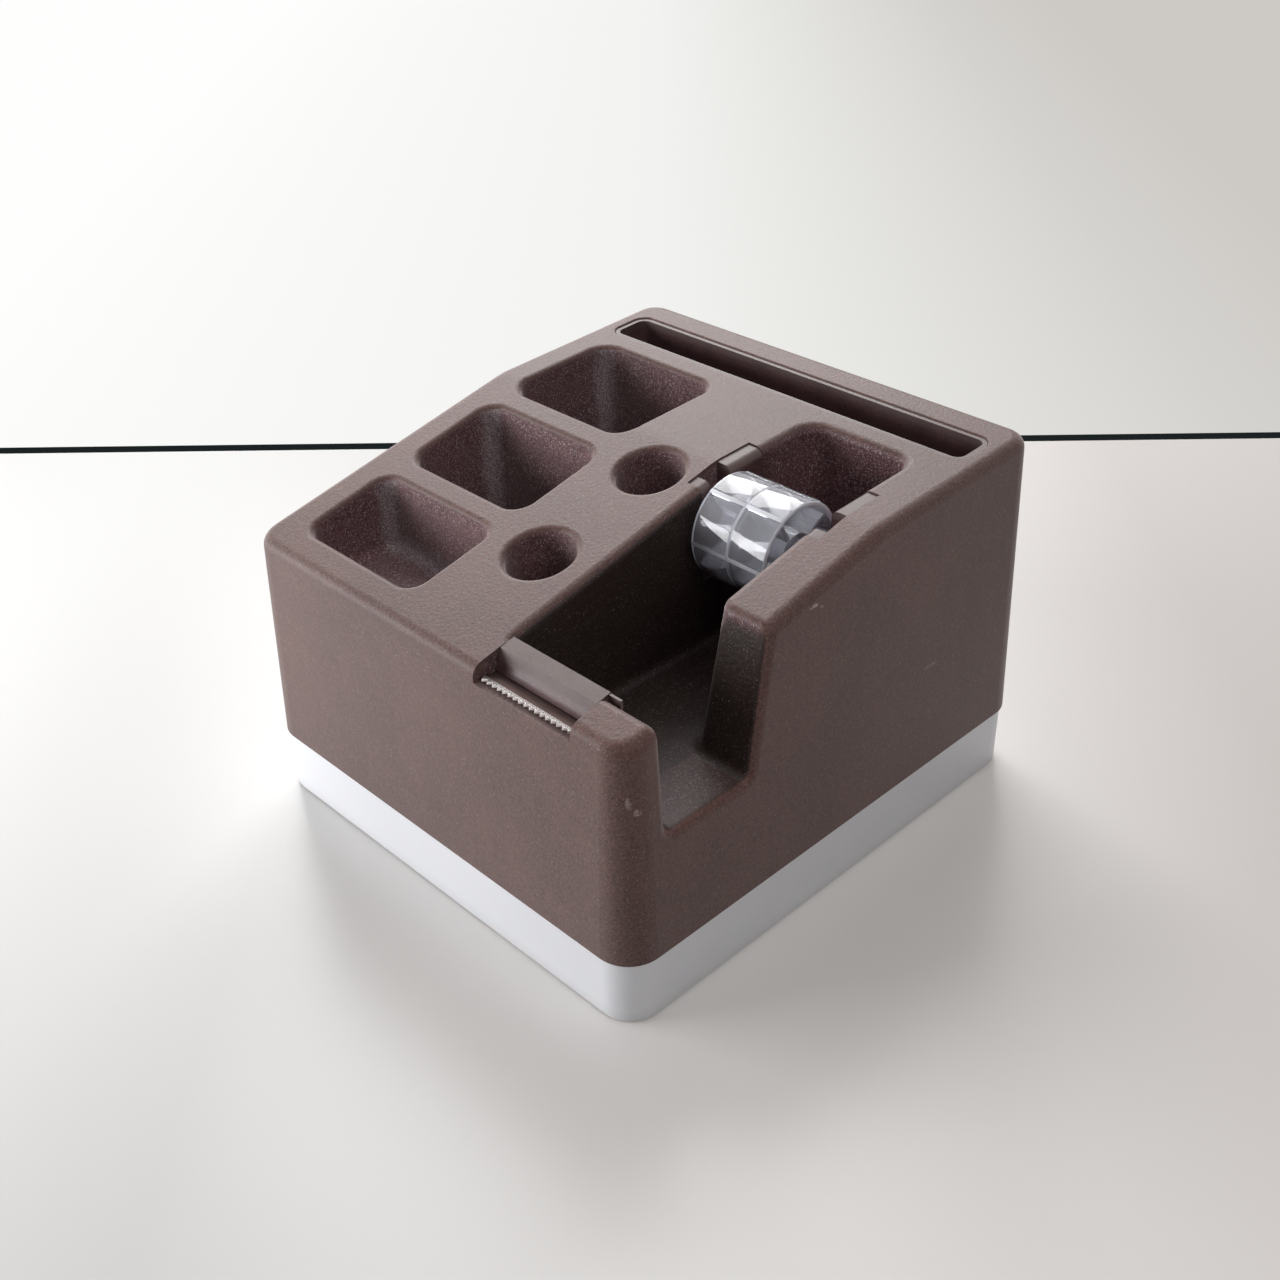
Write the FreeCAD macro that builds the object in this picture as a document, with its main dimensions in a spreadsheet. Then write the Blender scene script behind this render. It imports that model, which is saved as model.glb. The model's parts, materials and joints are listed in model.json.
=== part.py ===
import FreeCAD, Part
import math
import os

import Sketcher
from FreeCAD import Placement, Rotation, Vector

# Desk organizer with a tape dispenser and a drawer, in millimetres.
# +X runs to the right, +Y to the back and +Z up. The origin is the middle of the footprint on the desk,
# and the face with the cutter looks along -Y.

SIZES = [
    # housing
    ("base_height", 16.9),
    ("front_height", 70.0),
    ("front_slope", 12.7),
    ("rear_slope", 2.9),
    ("bend_from_front", 77.9),
    ("bend_radius", 20.0),
    ("corner_radius", 8.5),
    ("wall_draft", 2.0),
    ("top_round", 3.0),
    ("shell_wall", 2.2),
    ("cup_wall", 1.8),
    ("cup_draft", 1.5),
    ("rim_round", 1.5),
    ("floor_round", 2.5),
    # pockets and pen holes
    ("left_margin", 11.9),
    ("right_margin", 16.3),
    ("front_margin", 10.3),
    ("rear_margin", 11.5),
    ("pocket_width", 39.5),
    ("pocket_length_front", 24.0),
    ("pocket_length_middle", 26.0),
    ("pocket_length_rear", 32.0),
    ("pocket_gap", 6.8),
    ("front_pocket_floor_height", 58.4),
    ("middle_pocket_floor_height", 40.0),
    ("rear_pocket_floor_height", 26.0),
    ("pocket_corner", 4.0),
    ("pen_diameter", 16.0),
    ("pen_gap", 7.3),
    ("pen_from_front", 34.3),
    ("pen_pitch", 33.6),
    ("pen_floor_height", 28.0),
    # tape channel and its open side
    ("channel_width", 28.8),
    ("channel_front", 11.8),
    ("channel_floor_height", 46.0),
    ("channel_front_corner", 1.5),
    ("channel_back_corner", 5.0),
    ("channel_rim_round", 2.2),
    ("opening_back", 36.8),
    ("opening_lean", 10.8),
    ("opening_corner", 3.5),
    # tape hub and the cradles that carry its axle
    ("cradle_web", 2.8),
    ("cradle_thickness", 4.4),
    ("cradle_ahead", 6.4),
    ("cradle_behind", 13.9),
    ("cradle_below_axle", 13.3),
    ("cradle_drop", 0.4),
    ("cradle_round", 2.0),
    ("axle_from_front", 75.0),
    ("axle_depth", 11.6),
    ("axle_diameter", 6.4),
    ("axle_end_gap", 0.4),
    ("axle_chamfer", 0.5),
    ("running_clearance", 0.08),
    ("hub_diameter", 25.0),
    ("hub_length", 21.1),
    ("hub_side_gap", 2.2),
    ("hub_rim_wall", 1.1),
    ("hub_web", 1.2),
    ("hub_boss_wall", 1.5),
    ("hub_spoke_inset", 1.0),
    ("hub_rib_height", 0.35),
    ("hub_rib_width", 1.0),
    ("hub_peg_diameter", 2.0),
    ("hub_peg_circle", 16.0),
    ("hub_peg_length", 1.0),
    # cutter
    ("lip_drop", 3.2),
    ("lip_thickness", 1.7),
    ("holder_seat_drop", 3.0),
    ("holder_bar_depth", 3.7),
    ("holder_bar_lean", 1.7),
    ("holder_top_drop", 0.1),
    ("holder_ear_length", 3.2),
    ("holder_ear_thickness", 0.6),
    ("holder_ear_height", 5.6),
    ("blade_width", 27.4),
    ("blade_length", 7.0),
    ("blade_thickness", 0.6),
    ("blade_from_front", 2.8),
    ("blade_rise", 1.4),
    ("blade_tilt", 13.0),
    ("tooth_pitch", 1.6),
    ("tooth_count", 17),
    ("tooth_height", 1.1),
    ("seat_clearance", 0.15),
    # rear slot and its liner
    ("slot_end_margin", 7.5),
    ("slot_width", 12.6),
    ("slot_gap", 6.0),
    ("slot_corner", 3.5),
    ("slot_rim_round", 0.4),
    ("slot_collar", 8.0),
    ("liner_wall", 1.1),
    ("liner_drop", 0.4),
    # chassis, ballast and screws
    ("chassis_recess", 0.2),
    ("chassis_thickness", 2.5),
    ("chassis_gap", 0.45),
    ("boss_diameter", 6.4),
    ("boss_side_inset", 8.0),
    ("boss_end_inset", 7.6),
    ("screw_diameter", 2.5),
    ("screw_clearance_hole", 3.2),
    ("screw_head_diameter", 5.4),
    ("screw_head_height", 1.5),
    ("screw_socket", 2.4),
    ("chassis_screw_length", 10.0),
    ("ballast_side_gap", 6.95),
    ("ballast_length", 52.0),
    ("ballast_thickness", 5.0),
    ("ballast_from_front", 14.0),
    ("ballast_corner", 3.0),
    ("ballast_screw_spacing", 60.0),
    ("ballast_screw_length", 6.0),
    # drawer tray, rails and feet
    ("tray_inset", 0.65),
    ("tray_gap", 0.3),
    ("tray_wall", 2.2),
    ("tray_floor", 2.0),
    ("tray_clear_of_desk", 0.3),
    ("tray_edge_round", 0.5),
    ("tray_travel", 48.0),
    ("lip_reach", 2.2),
    ("tray_lip_thickness", 1.8),
    ("rail_clearance", 0.3),
    ("rail_thickness", 1.8),
    ("rail_base_width", 8.6),
    ("rail_stop_width", 3.0),
    ("rail_boss_height", 4.0),
    ("rail_boss_diameter", 5.2),
    ("rail_screw_inset", 7.0),
    ("rail_screw_length", 8.0),
    ("foot_diameter", 10.0),
    ("foot_thickness", 1.4),
    ("foot_side_inset", 11.0),
    ("foot_end_inset", 11.0),
    ("foot_clearance", 0.1),
]

DERIVED = [
    ("pocket_columns", "=left_margin + pocket_width + pen_gap + pen_diameter"),
    ("body_width", "=pocket_columns + cradle_web + cradle_thickness + channel_width + right_margin"),
    ("pocket_rows", "=pocket_length_front + pocket_length_middle + pocket_length_rear + 2 * pocket_gap"),
    ("body_depth", "=front_margin + pocket_rows + slot_gap + slot_width + rear_margin"),
    ("slot_length", "=body_width - 2 * slot_end_margin"),
    ("front_face", "=-body_depth / 2"),
    ("pocket_left", "=-body_width / 2 + left_margin"),
    ("pocket_right", "=pocket_left + pocket_width"),
    ("pocket_start_front", "=front_face + front_margin"),
    ("pocket_end_front", "=pocket_start_front + pocket_length_front"),
    ("pocket_start_middle", "=pocket_end_front + pocket_gap"),
    ("pocket_end_middle", "=pocket_start_middle + pocket_length_middle"),
    ("pocket_start_rear", "=pocket_end_middle + pocket_gap"),
    ("pocket_end_rear", "=pocket_start_rear + pocket_length_rear"),
    ("pen_x", "=pocket_right + pen_gap + pen_diameter / 2"),
    ("channel_left", "=pen_x + pen_diameter / 2 + cradle_web + cradle_thickness"),
    ("channel_right", "=channel_left + channel_width"),
    ("bend_y", "=front_face + bend_from_front"),
    ("bend_z", "=front_height + tan(front_slope) * bend_from_front"),
    ("block_top", "=bend_z + tan(rear_slope) * (body_depth - bend_from_front) + 10"),
    ("slot_start", "=pocket_end_rear + slot_gap"),
    ("slot_middle", "=slot_start + slot_width / 2"),
    ("axle_y", "=front_face + axle_from_front"),
    ("axle_height", "=bend_z + tan(front_slope) * (axle_y - bend_y) - axle_depth"),
    ("cradle_bottom", "=axle_height - cradle_below_axle"),
    ("channel_front_y", "=front_face + channel_front"),
    ("lip_height", "=front_height - lip_drop"),
    ("holder_seat", "=lip_height - holder_seat_drop"),
    ("blade_tip_height", "=lip_height + blade_rise"),
    ("blade_tip_y", "=front_face + blade_from_front"),
    ("channel_middle", "=(channel_left + channel_right) / 2"),
    ("hub_left", "=channel_left + hub_side_gap"),
    ("hub_middle", "=hub_left + hub_length / 2"),
    ("hub_right", "=hub_left + hub_length"),
    ("hub_ring_radius", "=hub_diameter / 2 - hub_rib_height"),
    ("hub_bore_radius", "=axle_diameter / 2 + running_clearance"),
    ("chassis_bottom", "=base_height + chassis_recess"),
    ("chassis_top", "=chassis_bottom + chassis_thickness"),
    ("tray_top", "=base_height - tray_gap"),
    ("tray_half_width", "=body_width / 2 - tray_inset"),
    ("tray_half_depth", "=body_depth / 2 - tray_inset"),
    ("tray_inner_half_width", "=tray_half_width - tray_wall"),
    ("tray_inner_half_depth", "=tray_half_depth - tray_wall"),
    ("tray_inner_corner", "=corner_radius - tray_inset - tray_wall"),
    ("boss_x", "=body_width / 2 - boss_side_inset"),
    ("boss_y", "=body_depth / 2 - boss_end_inset"),
    ("ballast_y", "=front_face + ballast_from_front + ballast_length / 2"),
    ("rail_foot_outer", "=tray_inner_half_width - rail_clearance"),
    ("rail_web_outer", "=tray_inner_half_width - lip_reach - rail_clearance"),
    ("rail_web_inner", "=rail_web_outer - rail_thickness"),
    ("rail_base_inner", "=rail_web_outer - rail_base_width"),
    ("rail_foot_top", "=tray_top - tray_lip_thickness - rail_clearance"),
    ("rail_foot_bottom", "=rail_foot_top - rail_thickness"),
    ("rail_base_bottom", "=chassis_bottom - rail_thickness"),
    ("stop_start", "=-tray_inner_half_depth + rail_clearance"),
    ("stop_end", "=tray_inner_half_depth - tray_travel - rail_clearance"),
    ("rail_start", "=stop_start + tray_inner_corner"),
    ("rail_end", "=stop_end - tray_inner_corner"),
    ("rail_screw_x", "=(rail_base_inner + rail_web_inner) / 2"),
    ("ballast_width", "=2 * (rail_screw_x - ballast_side_gap)"),
    ("foot_x", "=tray_half_width - foot_side_inset"),
    ("foot_y", "=tray_half_depth - foot_end_inset"),
]

doc = FreeCAD.newDocument("tape_organizer")
sheet = doc.addObject("Spreadsheet::Sheet", "Sizes")


def fill_sheet():
    for row, (alias, value) in enumerate(SIZES + DERIVED, 1):
        sheet.set("A%d" % row, alias)
        sheet.set("B%d" % row, str(value))
        sheet.setAlias("B%d" % row, alias)
    doc.recompute()


def s(expression):
    """The expression with each sheet alias qualified, as setExpression wants it."""
    words = []
    word = ""
    for letter in expression + " ":
        if letter.isalnum() or letter == "_":
            word += letter
            continue
        words.append("Sizes." + word if word in ALIASES else word)
        words.append(letter)
        word = ""
    return "".join(words).strip()


ALIASES = {alias for alias, _ in SIZES + DERIVED}


def value(expression):
    return float(sheet.evalExpression(s(expression)))


def top_z(y):
    """Height of the housing's top surface at y, before its bend is rounded."""
    front = "bend_z + tan(front_slope) * ((%s) - bend_y)" % y
    rear = "bend_z + tan(rear_slope) * ((%s) - bend_y)" % y
    return "min(%s; %s)" % (front, rear)


# ---------------------------------------------------------------- sketches and features


def new_body(name):
    body = doc.addObject("PartDesign::Body", name)
    body.Label = name
    return body


def new_sketch(body, plane, offset="0"):
    """A sketch on one of the body's origin planes, lifted off it along the plane's normal."""
    sketch = body.newObject("Sketcher::SketchObject", body.Name + "_sketch")
    support = [item for item in body.Origin.OriginFeatures if item.Role == plane][0]
    sketch.AttachmentSupport = [(support, "")]
    sketch.MapMode = "FlatFace"
    sketch.setExpression("AttachmentOffset.Base.z", s(offset))
    return sketch


def pin_point(sketch, geometry, corner, x, y):
    """Fix one point of a sketch at two expressions measured from the sketch's origin."""
    for kind, place in (("DistanceX", x), ("DistanceY", y)):
        index = sketch.addConstraint(Sketcher.Constraint(kind, -1, 1, geometry, corner, value(place)))
        sketch.setExpression("Constraints[%d]" % index, s(place))


def add_polygon(sketch, points):
    places = [Vector(value(x), value(y), 0) for x, y in points]
    count = len(points)
    lines = []
    for index in range(count):
        segment = Part.LineSegment(places[index], places[(index + 1) % count])
        lines.append(sketch.addGeometry(segment, False))
    for index in range(count):
        following = lines[(index + 1) % count]
        sketch.addConstraint(Sketcher.Constraint("Coincident", lines[index], 2, following, 1))
        pin_point(sketch, lines[index], 1, *points[index])


def add_rectangle(sketch, left, right, front, back):
    add_polygon(sketch, [(left, front), (right, front), (right, back), (left, back)])


def add_circle(sketch, x, y, diameter):
    centre = Vector(value(x), value(y), 0)
    circle = sketch.addGeometry(Part.Circle(centre, Vector(0, 0, 1), value(diameter) / 2))
    pin_point(sketch, circle, 3, x, y)
    index = sketch.addConstraint(Sketcher.Constraint("Radius", circle, value(diameter) / 2))
    sketch.setExpression("Constraints[%d]" % index, s("(%s) / 2" % diameter))


def add_rounded_rectangle(sketch, left, right, front, back, radius):
    """Four lines and four tangent arcs; the arcs' centres carry the place and the first arc the radius."""
    x0, x1, y0, y1, r = (value(item) for item in (left, right, front, back, radius))
    centres = [
        ("(%s) - (%s)" % (right, radius), "(%s) + (%s)" % (front, radius), -90),
        ("(%s) - (%s)" % (right, radius), "(%s) - (%s)" % (back, radius), 0),
        ("(%s) + (%s)" % (left, radius), "(%s) - (%s)" % (back, radius), 90),
        ("(%s) + (%s)" % (left, radius), "(%s) + (%s)" % (front, radius), 180),
    ]
    starts = [
        (Vector(x0 + r, y0, 0), Vector(x1 - r, y0, 0)),
        (Vector(x1, y0 + r, 0), Vector(x1, y1 - r, 0)),
        (Vector(x1 - r, y1, 0), Vector(x0 + r, y1, 0)),
        (Vector(x0, y1 - r, 0), Vector(x0, y0 + r, 0)),
    ]
    lines = []
    arcs = []
    for (start, end), (centre_x, centre_y, angle) in zip(starts, centres):
        lines.append(sketch.addGeometry(Part.LineSegment(start, end), False))
        circle = Part.Circle(Vector(value(centre_x), value(centre_y), 0), Vector(0, 0, 1), r)
        arc = Part.ArcOfCircle(circle, math.radians(angle), math.radians(angle + 90))
        arcs.append(sketch.addGeometry(arc, False))
    for index in range(4):
        sketch.addConstraint(Sketcher.Constraint("Tangent", lines[index], 2, arcs[index], 1))
        sketch.addConstraint(Sketcher.Constraint("Tangent", arcs[index], 2, lines[(index + 1) % 4], 1))
    for index in (0, 2):
        pin_point(sketch, arcs[index], 3, centres[index][0], centres[index][1])
    for index in (0, 1, 2):
        sketch.addConstraint(Sketcher.Constraint("Horizontal" if index != 1 else "Vertical", lines[index]))
    for index in (0, 2):
        radius_index = sketch.addConstraint(Sketcher.Constraint("Radius", arcs[index], r))
        sketch.setExpression("Constraints[%d]" % radius_index, s(radius))


def pad(body, sketch, length, taper="0", symmetric=False, down=False):
    feature = body.newObject("PartDesign::Pad", body.Name + "_pad")
    feature.Profile = (sketch, [""])
    feature.Length = value(length)
    feature.setExpression("Length", s(length))
    feature.setExpression("TaperAngle", s(taper))
    feature.SideType = "Symmetric" if symmetric else "One side"
    feature.Reversed = down
    doc.recompute()
    return feature


def pocket(body, sketch, length, symmetric=False, up=False):
    before = body.Shape.Volume
    feature = body.newObject("PartDesign::Pocket", body.Name + "_pocket")
    feature.Profile = (sketch, [""])
    feature.Length = value(length)
    feature.setExpression("Length", s(length))
    feature.SideType = "Symmetric" if symmetric else "One side"
    feature.Reversed = up
    doc.recompute()
    require(body.Shape.Volume < before, body.Name + ": a pocket cut nothing")
    return feature


def revolve(body, sketch, axis):
    feature = body.newObject("PartDesign::Revolution", body.Name + "_turn")
    feature.Profile = (sketch, [""])
    feature.ReferenceAxis = (sketch, [axis])
    feature.Angle = 360
    doc.recompute()
    return feature


def polar_pattern(body, feature, axis, count):
    pattern = body.newObject("PartDesign::PolarPattern", body.Name + "_pattern")
    pattern.Originals = [feature]
    turn_axis = [item for item in body.Origin.OriginFeatures if item.Role == axis][0]
    pattern.Axis = (turn_axis, [""])
    pattern.Angle = 360
    pattern.Occurrences = count
    body.Tip = pattern
    doc.recompute()
    return pattern


def require(condition, message):
    if not condition:
        raise RuntimeError(message)


def edge_middle(edge):
    return edge.valueAt((edge.FirstParameter + edge.LastParameter) / 2)


def face_normals(shape, edge):
    """Outward normals of the faces that meet in an edge, taken at its middle."""
    middle = edge_middle(edge)
    normals = []
    for face in shape.ancestorsOfType(edge, Part.Face):
        u, v = face.Surface.parameter(middle)
        normals.append(face.normalAt(u, v))
    return normals


def is_sharp(normals):
    return len(normals) == 2 and normals[0].getAngle(normals[1]) > math.radians(35)


def fillet(label, base, radius_of_edge):
    """A fillet whose edges are the ones that radius_of_edge gives a radius for."""
    edges = []
    for index, edge in enumerate(base.Shape.Edges, 1):
        radius = radius_of_edge(base.Shape, edge)
        if radius:
            edges.append((index, radius, radius))
    require(edges, label + ": no edge to round")
    feature = doc.addObject("Part::Fillet", label)
    feature.Base = base
    feature.Edges = edges
    doc.recompute()
    return feature


def cut(label, base, tool):
    feature = doc.addObject("Part::Cut", label)
    feature.Base = base
    feature.Tool = tool
    doc.recompute()
    return feature


def fuse(label, shapes):
    feature = doc.addObject("Part::MultiFuse", label)
    feature.Shapes = shapes
    feature.Refine = True
    doc.recompute()
    return feature


def place(item, x="0", y="0", z="0"):
    for axis, expression in (("x", x), ("y", y), ("z", z)):
        item.setExpression("Placement.Base." + axis, s(expression))


def box(label, left, right, front, back, bottom, top):
    item = doc.addObject("Part::Box", label)
    item.setExpression("Length", s("(%s) - (%s)" % (right, left)))
    item.setExpression("Width", s("(%s) - (%s)" % (back, front)))
    item.setExpression("Height", s("(%s) - (%s)" % (top, bottom)))
    place(item, left, front, bottom)
    return item


def cylinder(label, x, y, bottom, top, diameter):
    item = doc.addObject("Part::Cylinder", label)
    item.setExpression("Radius", s("(%s) / 2" % diameter))
    item.setExpression("Height", s("(%s) - (%s)" % (top, bottom)))
    place(item, x, y, bottom)
    return item


# ---------------------------------------------------------------- housing


def sky(label, drop):
    """Everything above the two sloping planes of the top, lowered by drop, with the bend rounded."""
    body = new_body(label)
    sketch = new_sketch(body, "YZ_Plane")
    front_z = "bend_z - (%s) - tan(front_slope) * (bend_y + body_depth)" % drop
    back_z = "bend_z - (%s) + tan(rear_slope) * (body_depth - bend_y)" % drop
    add_polygon(sketch, [
        ("-body_depth", front_z),
        ("bend_y", "bend_z - (%s)" % drop),
        ("body_depth", back_z),
        ("body_depth", "block_top + body_depth"),
        ("-body_depth", "block_top + body_depth"),
    ])
    pad(body, sketch, "2 * body_width", symmetric=True)
    bend_y, bend_z = value("bend_y"), value("bend_z - (%s)" % drop)

    def bend_radius(shape, edge):
        middle = edge_middle(edge)
        on_bend = abs(middle.y - bend_y) < 0.01 and abs(middle.z - bend_z) < 0.01
        return value("bend_radius") if on_bend else None

    return fillet(label + "_bend", body, bend_radius)


def drafted_block(label, inset, bottom):
    body = new_body(label)
    sketch = new_sketch(body, "XY_Plane", bottom)
    half_width = "(body_width / 2 - (%s))" % inset
    half_depth = "(body_depth / 2 - (%s))" % inset
    add_rounded_rectangle(sketch, "-" + half_width, half_width, "-" + half_depth, half_depth,
                          "corner_radius - (%s)" % inset)
    pad(body, sketch, "block_top - (%s)" % bottom, taper="-wall_draft")
    return body


def outer_form():
    form = cut("outer_form", drafted_block("outer_block", "0", "base_height"), sky("outer_sky", "0"))

    def top_edge(shape, edge):
        normals = face_normals(shape, edge)
        upward = [normal for normal in normals if normal.z > 0.9]
        return value("top_round") if is_sharp(normals) and upward else None

    return fillet("rounded_form", form, top_edge)


def inner_form():
    return cut("inner_form", drafted_block("inner_block", "shell_wall", "base_height - 1"),
               sky("inner_sky", "shell_wall"))


def tapered_cup(label, left, right, front, back, corner, floor, grow="0"):
    """A rectangular hollow with drafted walls: its sides are the ones at the housing's top surface."""
    body = new_body(label)
    bottom = "(%s) - (%s)" % (floor, grow)
    rim = top_z("((%s) + (%s)) / 2" % (front, back))
    lean = "(%s - (%s)) * tan(cup_draft) - (%s)" % (rim, bottom, grow)
    sketch = new_sketch(body, "XY_Plane", bottom)
    sides = ["(%s) + (%s)" % (left, lean), "(%s) - (%s)" % (right, lean),
             "(%s) + (%s)" % (front, lean), "(%s) - (%s)" % (back, lean)]
    if corner == "0":
        add_rectangle(sketch, *sides)
    else:
        add_rounded_rectangle(sketch, *sides, "(%s) + (%s)" % (corner, grow))
    pad(body, sketch, "block_top - (%s)" % bottom, taper="cup_draft")
    return body


def round_floor(label, base, floor):
    """Rounds the edges that lie in a hollow's floor."""
    height = value(floor)

    def floor_edge(shape, edge):
        level = all(abs(vertex.Z - height) < 0.01 for vertex in edge.Vertexes)
        return value("floor_round") if level and is_sharp(face_normals(shape, edge)) else None

    return fillet(label, base, floor_edge)


POCKETS = [
    ("front", "pocket_start_front", "pocket_end_front", "front_pocket_floor_height"),
    ("middle", "pocket_start_middle", "pocket_end_middle", "middle_pocket_floor_height"),
    ("rear", "pocket_start_rear", "pocket_end_rear", "rear_pocket_floor_height"),
]


def pocket_hollow(name, start, end, floor):
    hollow = tapered_cup("pocket_" + name, "pocket_left", "pocket_right", start, end, "pocket_corner", floor)
    return round_floor("pocket_%s_hollow" % name, hollow, floor)


def pocket_cup(name, start, end, floor):
    return tapered_cup("cup_" + name, "pocket_left", "pocket_right", start, end, "pocket_corner", floor,
                       "cup_wall")


PEN_ROWS = [("front", "front_face + pen_from_front"), ("rear", "front_face + pen_from_front + pen_pitch")]


def pen_hollow(name, y):
    hole = cylinder("pen_hole_" + name, "pen_x", y, "pen_floor_height", "block_top", "pen_diameter")
    doc.recompute()
    return round_floor("pen_hollow_" + name, hole, "pen_floor_height")


def pen_cup(name, y):
    return cylinder("pen_cup_" + name, "pen_x", y, "pen_floor_height - cup_wall", "block_top",
                    "pen_diameter + 2 * cup_wall")


def channel_block(label, corner="0", grow="0"):
    """The tape channel, between the cutter and the back of the rear pocket."""
    return tapered_cup(label, "channel_left", "channel_right", "channel_front_y", "pocket_end_rear",
                       corner, "channel_floor_height", grow)


def opening_block(label, grow="0"):
    """The open right side of the channel: upright behind the post, leaning back at its other side."""
    body = new_body(label)
    sketch = new_sketch(body, "YZ_Plane", "channel_right - channel_width / 4")
    bottom = "channel_floor_height - (%s)" % grow
    front = channel_front_at("channel_floor_height") + " - (%s)" % grow
    back = "front_face + opening_back + (%s)" % grow
    rise = "(block_top - (%s))" % bottom
    add_polygon(sketch, [
        (front, bottom),
        (back, bottom),
        ("%s + %s * tan(opening_lean)" % (back, rise), "block_top"),
        ("%s - %s * tan(cup_draft)" % (front, rise), "block_top"),
    ])
    pad(body, sketch, "body_width")
    return body


def channel_front_at(height):
    """Where the channel's drafted front wall stands at a height."""
    rim = top_z("(channel_front_y + pocket_end_rear) / 2")
    return "channel_front_y + (%s - (%s)) * tan(cup_draft)" % (rim, height)


def channel_hollow():
    """Channel and side opening in one, with their upright edges and then their floor rounded."""
    joined = fuse("channel_joined", [channel_block("channel"), opening_block("side_opening")])
    behind_opening = value("front_face + opening_back")
    behind_hub = value("axle_y")
    flank = value("body_width / 2")

    def upright(shape, edge):
        middle = edge_middle(edge)
        tangent = edge.tangentAt(edge.FirstParameter)
        if abs(tangent.z) < 0.9 or middle.x > flank or not is_sharp(face_normals(shape, edge)):
            return None
        if middle.y > behind_hub:
            return value("channel_back_corner")
        return value("opening_corner") if middle.y > behind_opening else value("channel_front_corner")

    return round_floor("channel_hollow", fillet("channel_upright", joined, upright), "channel_floor_height")


def slot_hollow():
    body = new_body("slot_hole")
    sketch = new_sketch(body, "XY_Plane", "chassis_top")
    add_rounded_rectangle(sketch, "-slot_length / 2", "slot_length / 2", "slot_start",
                          "slot_start + slot_width", "slot_corner")
    pad(body, sketch, "block_top - chassis_top")
    return body


def slot_collar():
    """The collar that the housing holds the liner with, just under the top."""
    wall = "cup_wall"
    return box("slot_collar_block", "-body_width / 2", "body_width / 2",
               "slot_start - " + wall, "slot_start + slot_width + " + wall,
               top_z("slot_middle") + " - shell_wall - slot_collar", "block_top")


def cradle_seats(grow="0", clear="0"):
    """The two recesses for the axle cradles, or with grow the plastic round them."""
    seats = []
    front = "axle_y - cradle_ahead - (%s)" % grow
    back = "axle_y + cradle_behind + (%s)" % grow
    bottom = "cradle_bottom - (%s)" % grow
    label = "cradle_wall_" if grow != "0" else "cradle_seat_"
    inner = "cradle_thickness / 4"
    seats.append(box(label + "left", "channel_left - cradle_thickness - (%s)" % grow,
                     "channel_left + " + inner, front, back, bottom, "block_top"))
    seats.append(box(label + "right", "channel_right - " + inner,
                     "channel_right + cradle_thickness + (%s)" % grow, front, back, bottom, "block_top"))
    return seats


def holder_recess():
    """The seat of the blade holder: open to the front above the lip and deeper behind it."""
    above_lip = box("holder_recess_front", "channel_left", "channel_right", "front_face - body_depth",
                    "channel_front_y", "lip_height", "block_top")
    behind_lip = box("holder_recess_seat", "channel_left", "channel_right", holder_front_y(),
                     "channel_front_y + channel_front_corner", "holder_seat", "block_top")
    return [above_lip, behind_lip]


def holder_front_y():
    """Rear side of the lip, whose front is the drafted front wall."""
    return "front_face + (lip_height - base_height) * tan(wall_draft) + lip_thickness"


def holder_cup():
    return box("holder_cup", "channel_left - cup_wall", "channel_right + cup_wall", "front_face",
               "channel_front_y", "holder_seat - cup_wall", "block_top")


BOSSES = [("front_left", -1, -1), ("front_right", 1, -1), ("rear_left", -1, 1), ("rear_right", 1, 1)]


def boss(name, side, end, bottom, top, diameter):
    return cylinder(name, "%d * boss_x" % side, "%d * boss_y" % end, bottom, top, diameter)


def body_shell():
    cups = [pocket_cup(*row) for row in POCKETS]
    cups += [pen_cup(*row) for row in PEN_ROWS]
    cups += [channel_block("cup_channel", "channel_front_corner", "cup_wall")]
    cups += [opening_block("cup_opening", "cup_wall")]
    cups += cradle_seats("cup_wall")
    cups += [holder_cup(), slot_collar()]
    cups += [boss("boss_" + name, side, end, "chassis_top", "block_top", "boss_diameter")
             for name, side, end in BOSSES]
    doc.recompute()
    cavity = cut("cavity", inner_form(), fuse("cups", cups))
    hollow_box = cut("hollow_box", outer_form(), cavity)
    hollows = [pocket_hollow(*row) for row in POCKETS]
    hollows += [pen_hollow(*row) for row in PEN_ROWS]
    hollows += [channel_hollow(), slot_hollow()]
    opened = cut("opened", hollow_box, fuse("hollows", hollows))
    rounded = fillet("rounded", opened, rim_radius)
    seats = cradle_seats() + holder_recess()
    seats += [boss("pilot_" + name, side, end, "base_height", "chassis_top + chassis_screw_length",
                   "screw_diameter + 2 * running_clearance") for name, side, end in BOSSES]
    doc.recompute()
    return cut("body_shell", rounded, fuse("seats", seats))


def rim_radius(shape, edge):
    """Rounding of an edge where a hollow breaks through the housing's outside."""
    normals = face_normals(shape, edge)
    middle = edge_middle(edge)
    near = value("shell_wall / 2")
    on_top = middle.z > value(top_z(str(middle.y))) - near and any(normal.z > 0.9 for normal in normals)
    lean = math.tan(math.radians(value("wall_draft")))
    flank = value("body_width / 2") - (middle.z - value("base_height")) * lean
    beside_opening = value("channel_front_y - shell_wall") < middle.y < value("axle_y")
    on_side = middle.x > flank - near and beside_opening
    above_floor = middle.z > value("channel_floor_height") - near
    if not is_sharp(normals) or not above_floor or not (on_top or on_side):
        return None
    if middle.y > value("slot_start") - near:
        return value("slot_rim_round")
    if middle.x < value("pen_x + pen_diameter / 2") + near:
        return value("rim_round")
    return value("channel_rim_round")


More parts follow.
